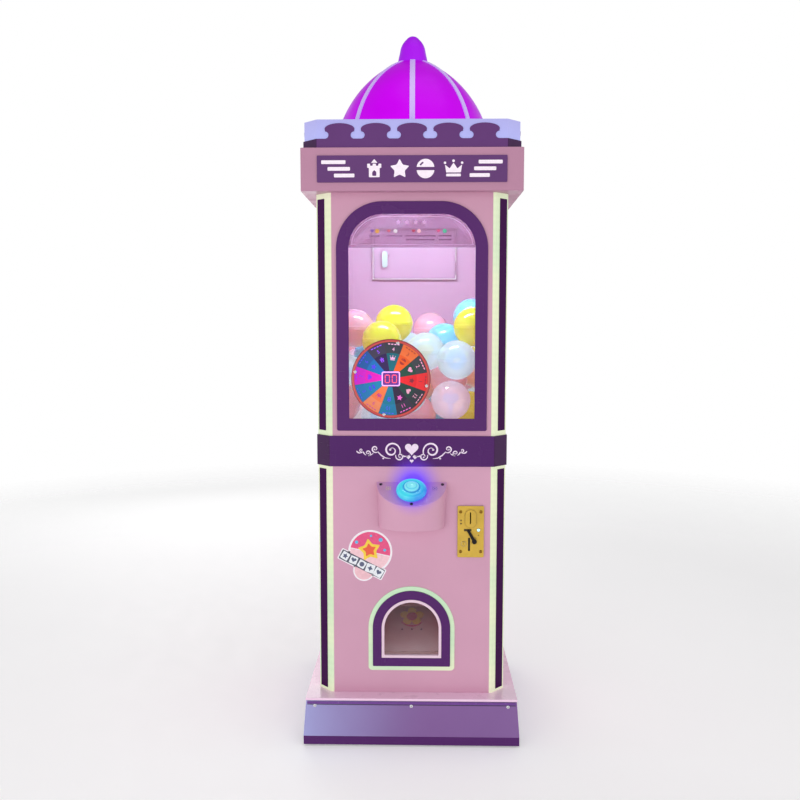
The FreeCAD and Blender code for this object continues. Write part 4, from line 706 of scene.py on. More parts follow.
def skirt_painted_reflection(name):
    """Violet plastic of the front skirt with a painted reflection, pale blue towards its left end, and
    painted shade in the creases.
    """
    g = Graph(name)
    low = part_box("skirt_front")[0]
    # painted reflection, fading out from the skirt's left end
    drift = g.drift(7, 3, -12 * MM, 12 * MM)
    painted_reflection = g.math("POWER", g.range(g.math("ADD", g.x, drift), low.x, low.x + 340 * MM, 1, 0), 1.8)
    violet = g.mix(g.noise(4.5, 3), rgb(124, 86, 146), rgb(140, 100, 164))
    base = g.mix(g.math("MULTIPLY", painted_reflection, 0.85), violet, rgb(172, 176, 230))
    base = g.crease_shaded(base, 0.008, 0.4, rgb(50, 30, 66))
    roughness = g.range(g.noise(17, 4), 0.35, 0.75, 0.1, 0.22)
    return g.surface(base, roughness, g.bump(g.noise(11, 2), 0.0003), Specular_IOR_Level=0.4)


def pocket_paint(name):
    """Pink paint of the prize pocket with painted shade: dark and brownish up under its roof, paler on the
    floor, darker in the creases.
    """
    g = Graph(name)
    low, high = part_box("prize_box")
    # painted shade: darker with height, towards the roof
    rise = g.range(g.z, low.z + 20 * MM, high.z - 40 * MM, 0, 1)
    rise = g.math("ADD", rise, g.drift(9, 3, -0.06, 0.06))
    tint = g.ramp(rise, [(0.0, rgb(255, 222, 222)), (0.3, rgb(218, 132, 144)), (1.0, rgb(132, 58, 64))])
    tint = g.crease_shaded(tint, 0.012, 0.4, rgb(110, 66, 80))
    roughness = g.drift(60, 3, 0.36, 0.5)
    return g.surface(tint, roughness, g.bump(g.noise(430, 2), ORANGE_PEEL))


def dress_crown():
    dress(crown_glow(), "crown_lightbox")
    dress(dome_glow("dome_magenta", rgb(136, 0, 168), rgb(210, 0, 247), 0.95), "dome_shell")
    dress(dome_glow("knob_violet", rgb(120, 14, 176), rgb(180, 30, 247), 0.9), "dome_knob")
    dress(rib_plastic("rib_pale"), "dome_ribs")


def rib_plastic(name):
    """Pale strips, faintly lit by the dome under them."""
    g = Graph(name)
    tint = g.mix(g.drift(12, 3, 0, 1), rgb(200, 185, 255), rgb(216, 176, 246))
    normal = g.bump(g.noise(500, 1), 0.00004)
    roughness = g.drift(60, 3, 0.34, 0.46)
    return g.surface(
        rgb(200, 176, 238), roughness, normal, Emission_Color=tint, Emission_Strength=0.14)


def dress_window():
    pane = clear_sheet("window_pane", (0.985, 0.985, 0.99, 1), (0.9, 0.9, 0.95, 0.012), mirror=0.5)
    tinted = clear_sheet(
        "tinted_plate", (0.90, 0.76, 0.88, 1), (0.50, 0.23, 0.41, 0.32), rough=0.12, mirror=0.4)
    flap = clear_sheet(
        "flap_clear", (0.97, 0.96, 0.98, 1), (0.85, 0.8, 0.86, 0.015), rough=0.05, mirror=0.35)
    dress(pane, "window_glass")
    dress(tinted, "instruction_plate")
    dress(flap, "prize_flap")
    dress(dial_rim("dial_rim"), "wheel_face")
    dress(lacquered("dial_back", rgb(190, 70, 100), rough=0.3), "wheel_housing")
    dress(display_ground("display_ground"), "wheel_display")
    dress(lamp_diffuser("chamber_lamp"), "chamber_lamp")


def display_ground(name):
    """Violet ground of the counter, lit from behind."""
    g = Graph(name)
    tint = g.mix(g.noise(60, 3), rgb(104, 42, 150), rgb(140, 60, 190))
    normal = g.bump(g.noise(900, 1), 0.00001)
    return g.surface(
        rgb(60, 24, 90), 0.18, normal, Emission_Color=tint, Emission_Strength=0.5)


def lamp_diffuser(name):
    """Lamp of the toy chamber: a bright strip between dull upper and lower rims."""
    g = Graph(name)
    low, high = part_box("chamber_lamp")
    rim = 3.2 * MM
    above, below = g.math("GREATER_THAN", g.z, low.z + rim), g.math("LESS_THAN", g.z, high.z - rim)
    level = g.math("MULTIPLY", g.math("MULTIPLY", above, below), g.drift(20, 2, 9.0, 11.0))
    frost = g.mix(g.noise(40, 3), (0.8, 0.8, 0.82, 1), (0.9, 0.9, 0.92, 1))
    return g.surface(
        frost, 0.45, None, Emission_Color=rgb(255, 246, 255), Emission_Strength=level)


def dial_rim(name):
    """Printed clear plastic: a thin orange-red edge with darker red on both sides of it."""
    g = Graph(name)
    radius = g.range(g.reach(middle("wheel_face")), 88 * MM, 97 * MM, 0, 1)
    tint = g.ramp(radius, [
        (0.0, rgb(84, 12, 28)), (0.35, rgb(206, 70, 62)), (0.75, rgb(176, 56, 62)), (1.0, rgb(92, 20, 40))])
    normal = g.bump(g.noise(800, 1), 0.00001)
    return g.surface(
        tint, g.drift(40, 3, 0.14, 0.26), normal,
        Emission_Color=tint, Emission_Strength=0.12, Coat_Weight=0.2, Coat_Roughness=0.08)


def dress_works():
    """Everything behind the panels, and the metal hardware."""
    dress(metal("zinc", (0.40, 0.40, 0.38, 1), rough=0.42),
          "hatch_lock", "service_lock", "door_hinge_pins", "leveling_feet")
    dress(metal("bright_steel", (0.70, 0.70, 0.72, 1), rough=0.2, grain=(60.0, 1.0, 1.0)), "flap_rod")
    dress(screw_finish("screw_finish"), "screws")
    dress(metal("ground_steel", (0.66, 0.66, 0.68, 1), rough=0.24), "carousel_shaft")
    dress(metal("galvanised", (0.58, 0.60, 0.62, 1), rough=0.42, grain=(1.0, 1.0, 1.0), grain_scale=90.0),
          "coin_box")
    dress(metal("supply_case", (0.72, 0.73, 0.75, 1), rough=0.36, grain=(1.0, 50.0, 1.0)), "power_supply")
    dress(metal("motor_case", (0.34, 0.34, 0.36, 1), rough=0.4), "gear_motor")
    dress(painted("deck_paint", rgb(214, 190, 208), rough=0.45), "mech_deck")
    feed = moulded(
        "feed_plastic", rgb(238, 226, 238), rough=0.4, Subsurface_Weight=0.15, Subsurface_Scale=0.004)
    dress(feed, "carousel", "hopper_funnel")
    dress(moulded("black_plastic", rgb(26, 25, 28)), "button_switch", "power_inlet", "coin_validator")
    dress(circuit("circuit_board"), "control_board")


def screw_finish(name):
    """Plated screws: brassy on the coin plate, blackened on the console, bright elsewhere, with painted shade
    in the creases.
    """
    g = Graph(name)
    margin = Vector((6, 8, 6)) * MM
    coin_low, coin_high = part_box("coin_plate")
    plate_low, plate_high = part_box("console_plate")
    colour = g.mix(g.noise(90, 3), (0.62, 0.62, 0.64, 1), (0.78, 0.78, 0.8, 1))
    colour = g.mix(g.within(coin_low - margin, coin_high + margin), colour, rgb(150, 112, 34))
    colour = g.mix(g.within(plate_low - margin, plate_high + margin), colour, rgb(80, 68, 88))
    colour = g.crease_shaded(colour, 0.002, 0.8, rgb(20, 16, 20))
    roughness = g.drift(140, 3, 0.22, 0.36)
    return g.surface(colour, roughness, g.bump(g.noise(500, 2), 0.00001), Metallic=0.8)


def circuit(name):
    """Green lacquer over copper tracks, with dark and pale parts standing on it."""
    g = Graph(name)
    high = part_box("control_board")[1]
    board_side = 12.4 * MM  # from the node's far face to just past the board; the parts are beyond
    board = g.math("GREATER_THAN", g.x, high.x - board_side)
    grid = g.add("TexBrick", {
        "Vector": g.add("Mapping", {"Vector": g.place, "Rotation": (0, math.radians(90), 0)}).outputs[0],
        "Scale": 160.0, "Mortar Size": 0.05, "Color1": rgb(14, 84, 50), "Color2": rgb(18, 96, 58),
        "Mortar": rgb(52, 140, 80)}).outputs[0]
    parts = g.mix(g.range(g.noise(55, 2), 0.48, 0.52, 0, 1), rgb(30, 30, 34), rgb(224, 218, 204))
    colour = g.mix(board, parts, grid)
    return g.surface(colour, 0.3, g.bump(g.noise(300, 3), 0.0001))


def dress_controls():
    dress(coin_gold("coin_gold"), "coin_plate")
    dress(lacquered("lever_black", rgb(22, 18, 20), rough=0.28), "coin_lever")
    dress(button_glow("button_ring", rgb(70, 232, 255), rgb(42, 140, 255), 0.66), "button_bezel")
    dress(button_glow("button_cap", rgb(132, 240, 255), rgb(84, 196, 250), 0.7), "button_plunger")


def coin_gold(name):
    """Gold-enamelled casting with fine pits, and painted shade that darkens its slots and creases."""
    g = Graph(name)
    colour = rgb(214, 176, 62)
    clouds = g.drift(28, 4, 0, 1)
    base = g.mix(clouds, scaled(colour, 0.9), scaled(colour, 1.06))
    base = g.mix(g.range(g.noise(420, 2), 0.64, 0.72, 0, 0.4), base, scaled(colour, 0.6))
    base = g.crease_shaded(base, 0.004, 0.9, rgb(60, 42, 10))
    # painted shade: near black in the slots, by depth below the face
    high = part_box("coin_plate")[1]
    deep = g.range(g.y, high.y - 3.2 * MM, high.y - 2.4 * MM, 0, 1)
    base = g.mix(deep, base, rgb(24, 16, 8))
    roughness = g.drift(90, 3, 0.3, 0.46)
    normal = g.bump(g.noise(640, 2), 0.00006)
    return g.surface(base, roughness, normal, Metallic=0.35, Coat_Weight=0.25)


def console_slope():
    """Lean of the console's plate, in radians."""
    low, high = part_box("console_plate")
    sheet = 2 * MM
    return math.atan2(high.z - low.z - sheet, high.y - low.y)


def button_glow(name, near, far, level):
    """Frosted lens with its lamp off to the upper left, so the lower right edge falls to blue; painted shade
    darkens its grooves and rings at its edges.
    """
    g = Graph(name)
    centre = middle("button_bezel")
    across = g.math("SUBTRACT", g.x, centre.x)
    up = g.math("SUBTRACT", g.z, centre.z)
    side = g.math("SUBTRACT", across, up)
    fall = g.range(side, -8 * MM, 50 * MM, 0, 1)
    tint = g.ramp(fall, [(0.1, near), (0.6, far), (1.0, rgb(40, 60, 255))])
    tint = g.mix(g.range(g.noise(50, 3), 0.4, 0.75, 0, 0.3), tint, scaled(near, 1.15))
    # painted shade in the grooves between cap and saucer
    groove_shade = g.range(g.creases(0.006, local=False), 0.3, 0.8, 0, 1)
    tint = g.mix(groove_shade, tint, rgb(22, 96, 190))
    slope = console_slope()
    widest = max(NODES["button_plunger"].data.vertices, key=lambda v: v.co.x).co
    radius = g.from_axis((0, widest.y, widest.z), (0, -math.sin(slope), math.cos(slope)))
    # painted shade: darker rings at the edges of the cap and the saucer
    full, edge = (1, 1, 1, 1), (0.12, 0.42, 0.80, 1)
    steps = g.ramp(g.range(radius, 0, 41 * MM, 0, 1), [
        (0.27, full), (0.31, (0.35, 0.68, 0.95, 1)), (0.36, full), (0.41, full), (0.45, edge),
        (0.50, edge), (0.56, full), (0.84, full), (0.97, (0.22, 0.45, 0.90, 1))])
    tint = g.mix(1.0, tint, steps, "MULTIPLY")
    roughness = g.drift(200, 3, 0.1, 0.2)
    normal = g.bump(g.noise(900, 2), 0.00002)
    return g.surface(
        scaled(near, 0.22), roughness, normal, Emission_Color=tint, Emission_Strength=level, Coat_Weight=0.3)


def soften_edges():
    soften(0.8, "header_shell", "waist_band", "plinth_tray", "filling_hatch", "service_door", "console_plate",
           "skirt_front", "skirt_wrap", "kick_strip", "crown_band")
    soften(0.6, "window_bezel", "prize_trim", "prize_light", "prize_liner", "header_sign", "corner_diffusers",
           "corner_inserts", "coin_plate", "wheel_face")
    soften(0.4, "front_lower_panel", "front_upper_panel", "left_panel", "right_panel", "rear_frame")


# ---- Prints and icons -------------------------------------------------------------------------
def vinyl(name, colour, rough=0.35, glow=0.0):
    """Cut vinyl or screen print: slightly uneven ink over a fine film texture."""
    g = Graph(name)
    base = g.mix(g.drift(140, 3, 0, 1), scaled(colour, 0.93), scaled(colour, 1.04))
    base = g.mix(g.range(g.noise(1700, 1), 0.66, 0.8, 0, 0.3), base, scaled(colour, 0.75))
    normal = g.bump(g.noise(700, 2), 0.00001)
    # glow, where given, lights the ink: their own light on the counter, the coin lamp and the lit dial,
    # painted light on the sign and the instruction plate
    more = {"Emission_Color": colour, "Emission_Strength": glow} if glow else {}
    roughness = g.drift(50, 2, rough - 0.05, rough + 0.08)
    return g.surface(base, roughness, normal, **more)


def tower(u, v, size):
    """Small castle tower with a door: wall, battlements and a roof."""
    wall = [
        (-13, -20), (13, -20), (13, 2), (17, 2), (17, 12), (10, 12), (10, 7), (4, 7), (4, 12),
        (-4, 12), (-4, 7), (-10, 7), (-10, 12), (-17, 12), (-17, 2), (-13, 2),
    ]
    door = [(-5, -17), (5, -17), (5, -8), (0, -3), (-5, -8)]
    roof = [(-8, 14), (8, 14), (0, 23)]
    shapes = [rounded(wall, 1.8), rounded(door, 2.4), rounded(roof, 1.6)]
    return moved(shapes, u, v, size / 46)


def crown(u, v, size):
    """Three-pointed crown with a band and beads."""
    band = bar(-19, 19, -19, -12, 2)
    body = rounded([(-19, -9), (19, -9), (22, 11), (10, 1), (0, 16), (-10, 1), (-22, 11)], 2)
    beads = [circle(-22, 15.5, 3.2, 20), circle(0, 20.5, 3.4, 20), circle(22, 15.5, 3.2, 20)]
    return moved([band, body] + beads, u, v, size / 46)


def ball(u, v, size):
    """Two-part capsule: open halves with a catch light."""
    r = size / 2
    gap = 1.6
    top = arc_points(u, v + gap, r, 6, 174, 28)
    low = arc_points(u, v - gap, r, 186, 354, 28)
    shine_out = arc_points(u, v + gap, r * 0.74, 112, 154, 8)
    shine_in = arc_points(u, v + gap, r * 0.56, 154, 112, 8)
    return [rounded(top, 1.5, 2), rounded(low, 1.5, 2), rounded(shine_out + shine_in, 0.8, 2)]


def make_sign():
    """Header sign: a tower, a star, a capsule and a crown between stepped speed bars."""
    centre = middle("header_sign")
    face_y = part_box("header_sign")[0].y
    loops = []
    loops += tower(-89, 0, 45)
    loops.append(star(-29, -1, 24, waist=0.52))
    loops += ball(32, 0, 42)
    loops += crown(98, -1, 42)
    bars = ((15.5, 214.6, 157.0), (0.0, 199.6, 146.4), (-15.5, 184.5, 136.0))
    half = 4.3
    for height, far, near in bars:
        loops.append(bar(-far, -near, height - half, height + half, 2.2))
        loops.append(bar(near, far - 1, height - half, height + half, 2.2))
    # faint painted glow on the white symbols
    white = vinyl("sign_white", rgb(252, 238, 250), glow=0.05)
    here = facing_front(centre.x, face_y, centre.z)
    piece("sign_symbols", [flat_part(loops, 0.9, here, white, 0.22)])


ORNAMENT_CURLS = (  # u, v, outer and inner radius, start, turn and width of each, right-hand side
    (49, 2.5, 22, 4.2, 206, -540, 4.4),
    (29, -12.5, 11.0, 2.4, 20, -460, 3.2),
    (90, 6.0, 10.0, 2.1, 228, 450, 3.2),
    (108, -4.0, 7.6, 1.8, 262, -400, 2.7),
    (124, 2.5, 5.6, 1.5, 215, 380, 2.3),
)
ORNAMENT_VINES = (  # strokes that join the curls, right-hand side
    ((5.0, -9.0), (12.0, -12.5), (19.0, -12.5), (24.0, -8.0)),
    ((52.0, -18.0), (64.0, -16.5), (75.0, -10.0), (84.0, -0.5)),
    ((94.0, -4.5), (98.5, -7.5), (103.0, -9.5), (107.0, -10.5)),
    ((112.0, -10.0), (116.0, -7.0), (118.5, -3.5), (120.0, -0.5)),
    ((122.0, -3.5), (128.0, -4.5), (132.5, -3.0), (136.0, 0.5)),
)
VINE_WIDTHS = (0.8, 2.3, 3.2, 2.0)


def make_ornament():
    """Waist band ornament: a heart between mirrored scrolls, with three small hearts below."""
    low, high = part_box("waist_band")
    loops = [heart(0, 4.5, 33)]
    loops += [heart(-8, -15, 10.5), heart(8, -15, 10.5), heart(0, -24.5, 9.5)]
    for side in (-1, 1):
        for scroll in ORNAMENT_CURLS:
            loops += curl(*scroll, side)
        for vine in ORNAMENT_VINES:
            loops.append(stroke([(side * u, v) for u, v in vine], VINE_WIDTHS))
        loops.append(star(side * 70, -17.5, 3.4, tips=4, waist=0.42))
    white = vinyl("ornament_white", rgb(247, 226, 247))
    here = facing_front(0, low.y, (low.z + high.z) / 2)
    piece("band_ornament", [flat_part([loop], 0.3, here, white) for loop in loops])


def wedge(inner, outer, start, end, steps=8):
    """Sector between two radii."""
    return arc_points(0, 0, outer, start, end, steps) + arc_points(0, 0, inner, end, start, steps)


DIAL_FIELDS = (
    # middle angle, colour of the field, colour of its outer part, colour of its print
    (-5, (232, 30, 42), (244, 44, 52), (120, 10, 40)),
    (25, (30, 74, 62), (62, 66, 74), (240, 150, 190)),
    (55, (240, 92, 34), (248, 116, 58), (150, 30, 20)),
    (85, (14, 104, 120), (58, 62, 74), (236, 170, 214)),
    (115, (48, 26, 84), (66, 58, 86), (150, 70, 255)),
    (145, (20, 112, 190), (28, 92, 170), (70, 50, 220)),
    (175, (232, 10, 190), (216, 20, 206), (120, 20, 220)),
    (205, (18, 128, 176), (30, 120, 184), (50, 60, 210)),
    (235, (246, 120, 70), (246, 140, 96), (176, 40, 130)),
    (265, (18, 120, 150), (22, 126, 172), (60, 70, 220)),
    (295, (44, 30, 60), (54, 50, 70), (226, 90, 190)),
    (325, (26, 64, 60), (46, 52, 62), (220, 150, 180)),
)


def make_dial():
    """Printed fields, figures and icons of the prize dial, and the raised ring round them."""
    centre = middle("wheel_face")
    face_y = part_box("wheel_face")[0].y
    hub, split, rim = 20, 63, 89.6  # radii of the fields' inner edge, the change of colour and the rim
    half_field = 14.8  # degrees
    film = 0.25
    icons = ([star(0, 51, 7.5)], [heart(0, 51, 13)], ball(0, 51, 13), crown(0, 51, 13), tower(0, 51, 13))
    here = facing_front(centre.x, face_y, centre.z)
    fields, prints = [], []
    for index, (angle, inside, outside, ink) in enumerate(DIAL_FIELDS):
        start, end = angle - half_field, angle + half_field
        name = f"dial_field_{index + 1}"
        fields.append(flat_part([wedge(hub, split, start, end)], film, here, lit_print(name, inside)))
        outer = lit_print(name + "_rim", outside)
        fields.append(flat_part([wedge(split, rim, start, end)], film, here, outer))
        material = vinyl(f"dial_ink_{index + 1}", rgb(*ink), glow=0.35)
        turn = facing_front(centre.x, face_y - film * MM, centre.z, angle - 90)
        figure = numeral_mesh(str(index + 1), 12.5)
        figure.transform(Matrix.Translation((0, 72 * MM, 0)))
        prints.append((placed(figure, turn), material))
        dashes = [bar(u - 2.6, u + 2.6, 83.2, 85.6, 0.8) for u in (-11.4, -3.8, 3.8, 11.4)]
        prints.append(flat_part(dashes, 0.2, turn, material))
        prints.append(flat_part(icons[index % len(icons)], 0.2, turn, material))
    piece("dial_fields", fields)
    piece("dial_prints", prints)
    ring = lathe_mesh([(90.2, 0.0), (90.2, 1.0), (90.9, 1.5), (94.8, 1.5), (96.2, 0.7), (96.4, 0.0)], 128)
    edge = NODES["wheel_face"].material_slots[0].material
    piece("dial_ring", [(placed(ring, here), edge)])


def lit_print(name, colour):
    """Printed field with a lamp behind: stronger towards the middle of the dial, mottled by the ink."""
    g = Graph(name)
    radius = g.reach(middle("wheel_face"))
    base = rgb(*colour)
    tint = g.mix(g.range(radius, 20 * MM, 88 * MM, 0, 1), scaled(base, 1.15), scaled(base, 0.85))
    tint = g.mix(g.range(g.noise(160, 4), 0.35, 0.7, 0, 0.4), tint, scaled(base, 0.7))
    level = g.range(radius, 20 * MM, 88 * MM, 0.6, 0.36)
    return g.surface(
        scaled(base, 0.6), g.drift(70, 2, 0.16, 0.26), g.bump(g.noise(900, 1), 0.00001),
        Specular_IOR_Level=0.3, Emission_Color=tint, Emission_Strength=level, Coat_Weight=0.12,
        Coat_Roughness=0.06)


SEGMENTS = {  # strokes of a seven-segment zero, as (u0, u1, v0, v1) of half its width and height
    "top": (-0.72, 0.72, 0.84, 1.0), "bottom": (-0.72, 0.72, -1.0, -0.84),
    "left_high": (-1.0, -0.74, 0.08, 0.86), "left_low": (-1.0, -0.74, -0.86, -0.08),
    "right_high": (0.74, 1.0, 0.08, 0.86), "right_low": (0.74, 1.0, -0.86, -0.08),
}


def make_display():
    """Counter: two lit zeros on a smoked ground, in a glowing frame."""
    low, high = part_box("wheel_display")
    centre = (low + high) / 2
    half_u, half_v = (high.x - low.x) / 2 / MM, (high.z - low.z) / 2 / MM
    here = facing_front(centre.x, low.y, centre.z)
    red = vinyl("digit_red", rgb(255, 70, 84), rough=0.25, glow=1.3)
    half_width, half_height = 6.0, 10.0
    strokes = []
    for middle_u in (-8.6, 8.6):
        for u0, u1, v0, v1 in SEGMENTS.values():
            left, right = middle_u + u0 * half_width, middle_u + u1 * half_width
            strokes.append(bar(left, right, v0 * half_height, v1 * half_height, 0.7))
    piece("counter_digits", [flat_part(strokes, 0.35, here, red)])
    outer = bar(-half_u, half_u, -half_v, half_v, 5.2)
    wide, tall = half_u - 2.6, half_v - 2.6
    inner = bar(-wide, wide, -tall, tall, 3.2)
    frame_light = vinyl("frame_lilac", rgb(238, 164, 255), rough=0.3, glow=0.85)
    piece("counter_frame", [flat_part([outer, inner], 1.0, here, frame_light, 0.3)])


def make_instructions():
    """Prints on the clear plate: engraved edge, coloured dots and rows of marks."""
    low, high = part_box("instruction_plate")
    half = (high.x - low.x) / 2 / MM
    height = (high.z - low.z) / MM
    radius = 89.0
    edge, inset = [], 11.0
    for inside in (inset, inset + 0.9):
        loop = [(-half + inside, inside * 0.6), (half - inside, inside * 0.6)]
        loop += arc_points(half - radius, height - radius, radius - inside, 0, 90, 16)
        loop += arc_points(-half + radius, height - radius, radius - inside, 90, 180, 16)
        loop = [(u, v) for u, v in loop if v > inside * 0.5]
        edge.append(loop)
    here = facing_front(0, low.y, low.z)
    # the edge line, the title and the dots carry a faint painted glow
    parts = [flat_part(edge, 0.25, here, vinyl("engraved", rgb(236, 200, 232), glow=0.12))]
    rows = (
        (27.5, ((-104, -82), (-60, -40), (-36, -25), (-15, 58), (66, 96))),
        (18.5, ((-14, 52), (66, 96))),
    )
    wide, half_tall, pitch = 2.9, 1.7, 4.3
    marks = []
    for v, runs in rows:
        for start, end in runs:
            u = start
            while u < end:
                marks.append(bar(u, u + wide, v - half_tall, v + half_tall, 0.6))
                u += pitch
    parts.append(flat_part(marks, 0.2, here, vinyl("mark_purple", rgb(120, 46, 110))))
    title = [star(u, 60, 6.5, waist=0.62) for u in (-33, -12, 9, 30)]
    parts.append(flat_part(title, 0.2, here, vinyl("title_pale", rgb(230, 176, 222), glow=0.05)))
    dots = (
        (-96, (120, 60, 170)), (-84, (240, 170, 60)), (-56, (220, 90, 110)), (-40, (245, 235, 240)),
        (4, (190, 30, 70)), (17, (250, 190, 200)), (64, (220, 70, 120)), (79, (70, 190, 150)),
    )
    for index, (u, colour) in enumerate(dots):
        shape = [heart(u, 39, 8.5)] if index % 2 == 0 else [circle(u, 39, 5.0)]
        parts.append(flat_part(shape, 0.2, here, vinyl(f"dot_{index + 1}", rgb(*colour), glow=0.1)))
    piece("instruction_prints", parts)


def make_sticker():
    """Round badge with a capsule and a star, crossed by a banner of five tiles."""
    face_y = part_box("front_lower_panel")[0].y
    here = facing_front(-111 * MM, face_y, 477 * MM)
    film = 0.16

    def layer(loops, colour, level, name):
        lift = here @ Matrix.Translation((0, 0, level * film * MM))
        return flat_part(loops, film, lift, vinyl(name, rgb(*colour), rough=0.22))

    disc, lobe, crossing = (8, 6), (-8, -42), (-13, -26)  # centres of the badge, its lobe and the banner
    tilt = -27.0
    banner_edge = turned_by(bar(-62, 62, -15, 15, 4), tilt, *crossing)
    edges = (
        (circle(*disc, 55, 64), "sticker_edge"), (banner_edge, "banner_edge"),
        (circle(*lobe, 27, 40), "lobe_edge"))
    parts = [layer([loop], (250, 244, 250), 0, name) for loop, name in edges]
    parts.append(layer([circle(*lobe, 23.5, 40)], (246, 196, 206), 1, "sticker_lobe"))
    upper = arc_points(*disc, 50, -12, 168, 40)
    lower = arc_points(*disc, 50, 170.5, 345.5, 40)
    parts.append(layer([upper], (236, 84, 136), 1, "sticker_pink"))
    parts.append(layer([lower], (250, 206, 214), 1, "sticker_blush"))
    parts.append(layer([star(6, 10, 30, waist=0.56, turn=98)], (252, 214, 70), 2, "sticker_yellow"))
    parts.append(layer([star(6, 10, 18, waist=0.56, turn=98)], (240, 96, 60), 3, "sticker_orange"))
    spots = ((-26, 30, 4.2), (34, 36, 5), (44, 10, 3.6), (10, 46, 3))
    confetti = [circle(*spot, 20) for spot in spots]
    parts.append(layer(confetti, (96, 190, 236), 2, "sticker_blue"))
    banner = turned_by(bar(-59, 59, -12.5, 12.5, 3), tilt, *crossing)
    parts.append(layer([banner], (84, 84, 104), 2, "sticker_slate"))
    tiles, icons = [], []
    spark = star(0, 0, 7.5, tips=4, waist=0.5)
    drawings = (star(0, 0, 7.5), heart(0, 0, 13), circle(0, 0, 6), spark, heart(0, 0, 13))
    for k, drawing in enumerate(drawings):
        along = (k - 2) * 23.2
        size = 9.6 if k < 3 else 11.0
        u = crossing[0] + along * math.cos(math.radians(tilt))
        v = crossing[1] + along * math.sin(math.radians(tilt))
        lean = tilt + (-6, 5, -4, 7, -5)[k]
        tiles.append(turned_by(bar(-size, size, -size, size, 2.2), lean, u, v))
        icons.append(turned_by(drawing, lean, u, v))
    parts.append(layer(tiles, (240, 244, 250), 3, "sticker_tile"))
    parts.append(layer(icons, (92, 98, 128), 4, "sticker_ink"))
    piece("panel_sticker", parts)


def first_hit(name, place, direction):
    """Where a line from a place first meets a node."""
    mesh = NODES[name].data
    tree = BVHTree.FromPolygons([v.co for v in mesh.vertices], [p.vertices for p in mesh.polygons])
    return tree.ray_cast(Vector(place), Vector(direction))[0]


def make_pocket_sticker():
    """Faded flower badge on the sloping floor of the prize pocket."""
    low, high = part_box("prize_box")
    inside = (low.z + high.z) / 2 + 20 * MM
    rear = first_hit("prize_box", (0, high.y - 16 * MM, inside), (0, 0, -1))
    front = first_hit("prize_box", (0, high.y - 120 * MM, inside), (0, 0, -1))
    slope = math.atan2(rear.z - front.z, rear.y - front.y)
    centre = front.lerp(rear, 0.68)
    here = Matrix.Translation(centre) @ Matrix.Rotation(slope, 4, "X")

    def layer(loops, level, name, colour):
        long_loops = [[(1.15 * u, 1.4 * v) for u, v in loop] for loop in loops]
        lift = here @ Matrix.Translation((0, 0, (0.03 + 0.05 * level) * MM))
        return flat_part(long_loops, 0.15, lift, vinyl(name, rgb(*colour)))

    petals = [
        circle(18 * math.cos(math.radians(a)), 6 + 16 * math.sin(math.radians(a)), 10, 24)
        for a in range(18, 378, 72)
    ]
    parts = [layer([petal], k, f"petal_{k}", (250, 186, 70)) for k, petal in enumerate(petals)]
    parts.append(layer([circle(0, 6, 12, 30)], 6, "petal_heart", (230, 80, 116)))
    parts.append(layer(moved([wedge(26, 30, 215, 325, 20)], 0, 6), 6, "petal_stem", (226, 70, 120)))
    parts.append(layer([circle(u, -31, 2.2, 14) for u in (-22, 0, 22)], 6, "petal_dots", (120, 40, 80)))
    piece("pocket_sticker", parts)


def make_console_prints():
    """Small bursts printed beside the button, on the sloping plate."""
    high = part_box("console_plate")[1]
    surface = Matrix.Translation((0, high.y, high.z)) @ Matrix.Rotation(console_slope(), 4, "X")
    parts = []
    out, down = 57, -23
    yellow, blue = vinyl("burst_yellow", rgb(226, 214, 150)), vinyl("burst_blue", rgb(110, 80, 190))
    for side, material in ((-1, yellow), (1, blue)):
        loops = []
        for k in range(8):
            ray = bar(-0.9, 0.9, 4.2, 8.0 if k % 2 else 6.6, 0.7)
            loops.append(turned_by(ray, 45 * k, side * out, down))
        loops.append(circle(side * out, down, 2.0, 16))
        parts.append(flat_part(loops, 0.12, surface, material))
    piece("console_prints", parts)


def make_skirt_bead():
    """Rounded bead along the top of the sloping skirt, with a painted shadow under it: a thin dark strip."""
    low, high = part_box("skirt_front")
    upper, lower = (
        first_hit("skirt_front", (0.03, low.y - 0.1, high.z - drop * MM), (0, 1, 0)) for drop in (4, 24)
    )
    slope = math.atan2(upper.y - lower.y, upper.z - lower.z)
    half = (high.x - low.x) / 2 / MM - 9
    here = Matrix.Translation((0, upper.y, upper.z)) @ Matrix.Rotation(math.radians(90) - slope, 4, "X")
    violet = vinyl("bead_violet", rgb(112, 62, 148), rough=0.2)
    bead = flat_part([bar(-half, half, -3.8, 2.6, 2.4)], 1.2, here, violet, 0.4)
    # painted shadow: a dark strip under the bead
    gap = flat_part([bar(-half, half, -6.0, -4.4, 0.5)], 0.3, here, vinyl("bead_painted_shadow", rgb(34, 20, 44)))
    piece("skirt_bead", [bead, gap])


